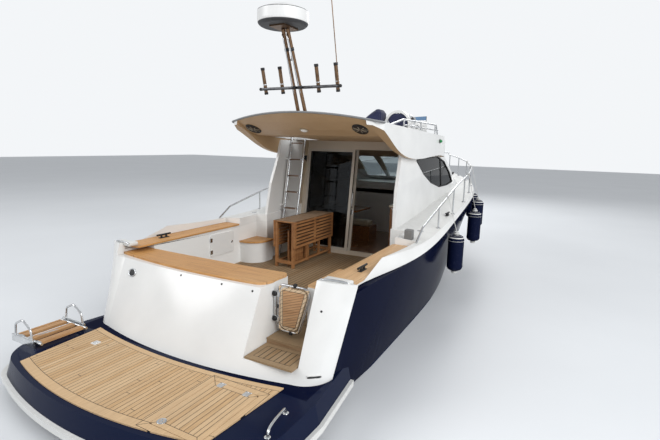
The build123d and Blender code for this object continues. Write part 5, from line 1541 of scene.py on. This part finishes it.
# moulded pad at the aft end of each coaming, with a bright chafe bar on its aft edge; shares and heights of its layers
coamingPad = {"corners": ((0.545, 1.325), (0.575, 1.585), (0.665, 1.595), (0.670, 1.320)), "ground": 1.265,
              "layers": ((1.0, -0.03), (1.0, 0.004), (0.96, 0.012), (0.80, 0.015), (0.02, 0.016)),
              "bar": ((0.548, 1.325, 0.004), (0.556, 1.40, 0.014), (0.568, 1.52, 0.014), (0.580, 1.585, 0.004))}


def makeFairleads():
    corners, ground = np.array(coamingPad["corners"]), coamingPad["ground"]
    middle, line = corners.mean(0), sidesOf(corners, 12)
    layers = [np.column_stack([middle + (line - middle) * size, np.full(len(line), ground + height)])
              for size, height in coamingPad["layers"]]
    port = (np.concatenate(layers), cappedFaces(len(layers), len(line)))
    bars = [tube(smoothLine([(x, side * y, ground + z) for x, y, z in coamingPad["bar"]]), 0.011, 12)
            for side in (-1, 1)]
    join("coamingPads", [otherSide(port), port], "whiteVinyl")
    join("chafeBars", bars, "steel")


makeFairleads()
print("drains and fairleads")


# galley, in metres: two raised doors aft and one towards the aisle, with knobs, a steel sink and a tap
galley = {"aftX": 4.33, "aisleY": -0.56, "sink": (4.60, -0.80), "sinkHalf": (0.186, 0.146), "tapX": 4.835,
          "aftDoors": ((-1.050, -0.830), (-0.805, -0.590)), "aisleDoor": (4.37, 4.84), "doorZ": (0.72, 1.40),
          "aftFields": ((-1.010, -0.870), (-0.765, -0.630)), "aisleField": (4.42, 4.79), "fieldZ": (0.77, 1.35),
          "knobs": (-0.850, -0.782), "aisleKnob": 4.40, "knobZ": 1.30}
knobProfile = ((0.005, 0.0), (0.005, 0.010), (0.013, 0.014), (0.014, 0.020), (0.009, 0.025), (0.001, 0.026))
tapFoot = ((0.024, 0.0), (0.024, 0.012), (0.014, 0.016), (0.013, 0.060))
sinkLayers = ((1.04, 1.4805), (1.04, 1.4835), (0.985, 1.4825), (0.955, 1.470), (0.93, 1.425), (0.84, 1.410),
              (0.10, 1.4075), (0.01, 1.4075))   # share of the opening, height


# a raised panel on the galley's aft face, or on its face towards the aisle
def galleyPanel(run, z, back, front, aisle=False):
    (start, end), (foot, head) = run, z
    if aisle:
        y = galley["aisleY"]
        return softBox((start, y + back, foot), (end, y + front, head), 0.09, 16, 32)
    x = galley["aftX"]
    return softBox((x - front, start, foot), (x - back, end, head), 0.09, 16, 32)


# the sink: a squared circle scaled by each layer's share, sunk to its height
def sinkBowl():
    turn = np.linspace(0, 2 * np.pi, 64, endpoint=False)
    halfX, halfY = galley["sinkHalf"]
    ring = np.column_stack([signedPower(np.cos(turn), 0.32) * halfX, signedPower(np.sin(turn), 0.32) * halfY])
    points = np.concatenate([np.column_stack([np.array(galley["sink"]) + ring * size, np.full(len(turn), z)])
                             for size, z in sinkLayers])
    faces = cappedFaces(len(sinkLayers), len(turn))
    del faces[-2]   # the rim stays open, because it lies in the worktop
    return points, faces


def makeGalley():
    doors = [galleyPanel(run, galley["doorZ"], -0.004, 0.014) for run in galley["aftDoors"]]
    doors.append(galleyPanel(galley["aisleDoor"], galley["doorZ"], -0.004, 0.014, True))
    doors += [galleyPanel(run, galley["fieldZ"], 0.0, 0.019) for run in galley["aftFields"]]
    doors.append(galleyPanel(galley["aisleField"], galley["fieldZ"], 0.0, 0.019, True))
    join("galleyDoors", doors, "cabinWood")
    x, y, z = galley["aftX"], galley["aisleY"], galley["knobZ"]
    bright = [lathe(knobProfile, (x - 0.013, place, z), (-1, 0, 0), 20) for place in galley["knobs"]]
    bright.append(lathe(knobProfile, (galley["aisleKnob"], y + 0.013, z), (0, 1, 0), 20))
    join("sinkBowl", [sinkBowl()], "steel")
    tapX, tapY = galley["tapX"], galley["sink"][1]
    bright.append(lathe(tapFoot, (tapX, tapY, 1.479), (0, 0, 1), 24))
    spout = [(tapX, 1.53), (tapX, 1.66), (4.80, 1.715), (4.74, 1.715), (4.715, 1.68)]
    bright.append(tube(smoothLine([(place, tapY, height) for place, height in spout]), 0.0095, 12))
    lever = [(tapX, tapY - 0.014, 1.515), (4.833, tapY - 0.045, 1.522), (4.830, tapY - 0.085, 1.540)]
    bright.append(tube(smoothLine(lever, 6), 0.006, 10))
    join("galleyFittings", bright, "steel")


makeGalley()

towel = {"barZ": 1.43, "barReach": 0.036, "barRadius": 0.006, "y": -0.70, "wide": 0.17, "aft": 0.27, "back": 0.34,
         "bend": 0.0125, "wave": 0.006, "thick": 0.0018}


# towel: a strip over a bar, half a circle between its two falls, which wave across their width and more lower down
def makeTowel():
    x, reach, bend = galley["aftX"], towel["barReach"], towel["bend"]
    corners = [(x, -1.00), (x - reach + 0.002, -0.99), (x - reach, -0.80), (x - reach + 0.002, -0.61), (x, -0.60)]
    bar = tube(smoothLine([(*corner, towel["barZ"]) for corner in corners]), towel["barRadius"], 10)
    join("towelBar", [bar], "steel")
    across, along = 26, 61
    wide = np.linspace(-0.5, 0.5, across)[None, :]
    run = np.linspace(-towel["back"], towel["aft"], along)[:, None]
    angle = np.clip(run / bend, -np.pi / 2, np.pi / 2)
    fall = np.maximum(np.abs(run) - bend * np.pi / 2, 0)
    wave = towel["wave"] * np.sin(wide * 15 + 1.0) * np.clip(fall / 0.12, 0, 1)
    px = x - reach + bend * np.sin(angle) + wave
    py = towel["y"] + wide * (towel["wide"] - 0.02 * np.clip(fall / 0.3, 0, 1)) + 0 * run
    pz = towel["barZ"] + towel["barRadius"] + 0.0005 + bend * np.cos(angle) - bend - fall + 0 * wide
    cloth = addPiece("galleyTowel", np.stack([px, py, pz], -1), gridFaces(along, across).tolist(), "towel", "boat")
    thick = cloth.modifiers.new("cloth", "SOLIDIFY")
    thick.thickness, thick.offset = towel["thick"], 0.0


makeTowel()
print("galley")


# both helms, in metres: a row of dials, a compass and two levers; the lower one also has a plotter and switches
helm = {"y": -0.72, "dials": (-0.98, -0.87, -0.57, -0.46), "dialRadius": 0.034, "compass": (6.10, -0.50),
        "levers": (5.83, -0.44), "leverHeight": 0.17, "plotter": 5.90, "plotterTilt": -14, "switchSpan": 0.10,
        "hub": (5.552, -0.70, 1.3345), "hubAxis": (-0.866, 0, 0.5)}
flyHelm = {"dials": (-0.86, -0.52), "dialRadius": 0.030, "compass": (4.84, -0.69), "levers": (4.80, -0.49),
           "leverHeight": 0.13}
leverKnob = ((0.002, -0.018), (0.013, -0.014), (0.016, 0.0), (0.013, 0.014), (0.002, 0.018))
hubCap = ((0.002, 0.012), (0.020, 0.011), (0.030, 0.004), (0.033, -0.004))
switchProfile = ((0.010, 0.0), (0.010, 0.004), (0.004, 0.006), (0.0035, 0.016), (0.001, 0.017))


# bezel, face and needle of each dial, found along a line from the steering seat
def dialsOn(node, x, z, along, places, radius):
    bezels, faces, needles = [], [], []
    for y in places:
        place, normal = touch(node, (x, y, z), along)
        rim = [(radius * 0.90, 0.004), (radius * 0.94, 0.009), (radius * 1.05, 0.008), (radius * 1.12, 0.0)]
        bezels.append(lathe(rim, place, normal, 32))
        faces.append(lathe([(0.001, 0.0045), (radius * 0.5, 0.0043), (radius * 0.92, 0.0042)], place, normal, 32))
        side = unit(np.cross((0, 1, 0), normal))
        ends = [place + normal * 0.006 + side * radius * share for share in (0, 0.4, 0.75)]
        needles.append(tube(ends, 0.0012, 6))
    return bezels, faces, needles


# two levers side by side on one box, their tops moved by lean metres, each with a round knob
def leverPair(base, height, lean=-0.03):
    x, y, z = base
    box = softBox((x - 0.05, y - 0.045, z - 0.01), (x + 0.05, y + 0.045, z + 0.035), 0.3)
    arms, knobs = [], []
    for step in (-0.018, 0.018):
        top = (x + lean, y + step * 1.3, z + height)
        middle = (x + lean * 0.4, y + step * 1.2, z + height * 0.6)
        arms.append(tube(smoothLine([(x, y + step, z + 0.03), middle, top], 6), 0.0055, 10))
        knobs.append(lathe(leverKnob, top, (0, 1, 0), 24))
    return box, arms, knobs


# a compass: a profile turned round the upright, on the place below it on the dash
def compassOn(node, place, top, profile):
    return lathe(profile, touch(node, (*place, top), (0, 0, -1))[0], (0, 0, 1), 32)


def makeHelm():
    node, along = "helm_console", (0.80, 0, -0.30)
    bezels, faces, needles = dialsOn(node, 5.0, 1.72, along, helm["dials"], helm["dialRadius"])
    x, y, z = touch(node, (helm["plotter"], helm["y"], 2.2), (0, 0, -1))[0]
    tilt = helm["plotterTilt"]
    case = turned(softBox((x - 0.03, y - 0.165, z - 0.012), (x + 0.035, y + 0.165, z + 0.205), 0.16),
                  (x, y, z), "Y", tilt)
    shown = turned(softBox((x - 0.0345, y - 0.145, z + 0.022), (x - 0.020, y + 0.145, z + 0.190), 0.12),
                   (x, y, z), "Y", tilt)
    compass = compassOn(node, helm["compass"], 2.2,
                        [(0.050, 0.0), (0.050, 0.022), (0.042, 0.050), (0.022, 0.068), (0.002, 0.072)])
    box, arms, knobs = leverPair(touch(node, (*helm["levers"], 2.2), (0, 0, -1))[0], helm["leverHeight"])
    switches = [lathe(switchProfile, *touch(node, (5.0, helm["y"] + step, 1.46), along), 14)
                for step in np.linspace(-helm["switchSpan"], helm["switchSpan"], 6)]
    join("dialBezels", bezels + switches, "steel")
    join("dialFaces", faces + [shown], "screen")
    join("dialNeedles", needles, "whiteVinyl")
    join("plotterCase", [case, compass, box] + knobs, "black")
    join("helmLevers", arms, "steel")
    join("wheelHubCap", [lathe(hubCap, helm["hub"], helm["hubAxis"], 28)], "steel", "lower_wheel")


def makeFlyHelm():
    node = "helm_pod"
    bezels, faces, needles = dialsOn(node, 4.0, 3.15, (0.86, 0, -0.42), flyHelm["dials"], flyHelm["dialRadius"])
    compass = compassOn(node, flyHelm["compass"], 3.6,
                        [(0.045, 0.0), (0.045, 0.018), (0.038, 0.044), (0.020, 0.060), (0.002, 0.064)])
    box, arms, knobs = leverPair(touch(node, (*flyHelm["levers"], 3.6), (0, 0, -1))[0], flyHelm["leverHeight"])
    join("flyDialBezels", bezels, "steel")
    join("flyDialFaces", faces, "screen")
    join("flyDialNeedles", needles, "whiteVinyl")
    join("flyHelmBlack", [compass, box] + knobs, "black")
    join("flyHelmLevers", arms, "steel")


makeHelm()
makeFlyHelm()
print("helms")


# foredeck, in metres: windlass with chain to the roller, fillers and navigation lights
windlass = {"x": 9.02, "drumY": 0.044, "chainEnd": (9.44, 0.0, 1.975), "pitch": 0.0235, "sag": 0.012,
            "drum": ((0.020, 0.0), (0.045, 0.004), (0.047, 0.012), (0.026, 0.022), (0.026, 0.032), (0.047, 0.042),
                     (0.044, 0.052), (0.014, 0.056), (0.002, 0.056))}
chainLinkSize = {"length": 0.030, "width": 0.020, "wire": 0.0034}
filler = {"x": 3.15, "y": 1.46,
          "profile": ((0.002, 0.0035), (0.030, 0.0035), (0.036, 0.005), (0.046, 0.004), (0.049, 0.0))}
sideLight = {"x": 5.05, "z": 2.60, "squash": (1.3, 0.85), "case": ((0.042, -0.004), (0.042, 0.008), (0.036, 0.012)),
             "lens": ((0.034, 0.004), (0.031, 0.030), (0.018, 0.042), (0.002, 0.045))}


# a link is an ellipse of wire, each second one on edge
def chainLink(centre, along, flat):
    across = unit(np.cross(along, (0, 0, 1) if flat else (0, 1, 0)))
    line = ellipse(centre, along * chainLinkSize["length"] / 2, across * chainLinkSize["width"] / 2, 14)
    return tube(line, chainLinkSize["wire"], 6, True)


def makeForedeck():
    x, _, z = touch("deck", (windlass["x"], 0, 3.5), (0, 0, -1))[0]
    base = softBox((x - 0.10, -0.075, z - 0.01), (x + 0.10, 0.075, z + 0.02), 0.25)
    case = softBox((x - 0.075, -0.055, z + 0.01), (x + 0.075, 0.045, z + 0.125), 0.4)
    join("windlassCase", [base, case], "whiteVinyl")
    drum = lathe(windlass["drum"], (x, windlass["drumY"], z + 0.068), (0, 1, 0), 32)
    join("windlassDrum", [drum], "steel")
    start, end = np.array((x + 0.03, 0.070, z + 0.105)), np.array(windlass["chainEnd"])
    count = int(np.linalg.norm(end - start) / windlass["pitch"])
    links = []
    for index in range(count):
        share = (index + 0.5) / count
        sag = (0, 0, windlass["sag"] * math.sin(math.pi * share))
        links.append(chainLink(start + (end - start) * share - sag, unit(end - start), index % 2 == 0))
    join("anchorChain", links, "galvanised")
    fillers = [lathe(filler["profile"], *touch("deck", (filler["x"], side * filler["y"], 3.5), (0, 0, -1)), 36)
               for side in (-1, 1)]
    join("deckFillers", fillers, "steel")
    for side, label, name in ((1, "redLens", "portLight"), (-1, "greenLens", "starboardLight")):
        spot = touch("flybridge", (sideLight["x"], side * 2.5, sideLight["z"]), (0, -side, 0))
        join(name, [lathe(sideLight["lens"], *spot, 28, sideLight["squash"])], label)
        join(name + "Case", [lathe(sideLight["case"], *spot, 28, sideLight["squash"])], "black")


makeForedeck()
print("foredeck")


# cockpit, in metres: the locker door's latch and hinges, and a white grab rail on the port wing
lockerFront = {"y": 1.282, "latch": (2.34, 0.98), "hingeX": (1.872, 1.915), "hinges": (0.89, 1.07),
               "profile": ((0.002, 0.006), (0.018, 0.006), (0.022, 0.003), (0.023, -0.001))}
grabRail = {"z": (1.45, 1.49, 1.65, 1.85, 2.05, 2.21, 2.25), "x": 3.38, "lean": 0.02, "stand": 0.05,
            "radius": 0.0125, "foot": ((0.013, 0.012), (0.024, 0.008), (0.026, -0.001))}
capStop = {"low": (2.575, -1.525, 1.285), "high": (2.665, -1.415, 1.430)}


# the grab rail stands off the wing between its two ends, which lie on it
def makeCockpitFittings():
    y, (latchX, latchZ), (aft, fore) = lockerFront["y"], lockerFront["latch"], lockerFront["hingeX"]
    latch = lathe(lockerFront["profile"], (latchX, y, latchZ), (0, -1, 0), 28)
    hinges = [softBox((aft, y - 0.004, z - 0.03), (fore, y + 0.003, z + 0.03), 0.15) for z in lockerFront["hinges"]]
    join("lockerFittings", [latch] + hinges, "steel", "locker")
    line = np.array([touch("cabin", (grabRail["x"] + grabRail["lean"] * step, 0.4, z), (0, 1, 0))[0]
                     for step, z in enumerate(grabRail["z"])])
    line[1:-1, 1] -= grabRail["stand"]
    feet = [lathe(grabRail["foot"], place, (0, -1, 0), 24) for place in (line[0], line[-1])]
    join("wingGrabRail", [tube(smoothLine(line), grabRail["radius"], 12)] + feet, "whiteVinyl")
    # grey moulded stop where the starboard teak cap meets the side deck
    join("capStops", [softBox(capStop["low"], capStop["high"], 0.22)], "stopGrey")


hatchRim = {"inset": 0.022, "radius": 0.017, "flat": 0.6, "handles": (-0.13, 0.13), "handleX": 0.075,
            "hub": ((0.017, 0.012), (0.020, 0.009), (0.022, -0.001)), "arm": ((0.035, 0, 0.014), (0.065, 0.002, 0.013))}


# hatch frame: a rounded bar round the hatch's edge, and two handles inside it
def makeHatchFrame():
    low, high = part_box("fore_hatch")
    inset = hatchRim["inset"]
    aft, fore, starboard, port = low[0] + inset, high[0] - inset, low[1] + inset, high[1] - inset
    corners = [touch("fore_hatch", (x, y, 3.0), (0, 0, -1))[0]
               for x, y in ((aft, starboard), (fore, starboard), (fore, port), (aft, port))]
    rim = tube(sidesOf(corners, 14, 1), hatchRim["radius"], 10, True, flat=hatchRim["flat"])
    join("hatchFrame", [rim], "aluminium", "bow_hatch")
    handles = []
    for y in hatchRim["handles"]:
        place, normal = touch("fore_hatch", (low[0] + hatchRim["handleX"], y, 3.0), (0, 0, -1))
        handles.append(lathe(hatchRim["hub"], place, normal, 24))
        arm = [place + normal * 0.012] + [place + normal * rise + (x, 0, z) for x, z, rise in hatchRim["arm"]]
        handles.append(tube(smoothLine(arm, 5), 0.0065, 8))
    join("hatchHandles", handles, "black", "bow_hatch")


makeCockpitFittings()
makeHatchFrame()
print("cockpit fittings")
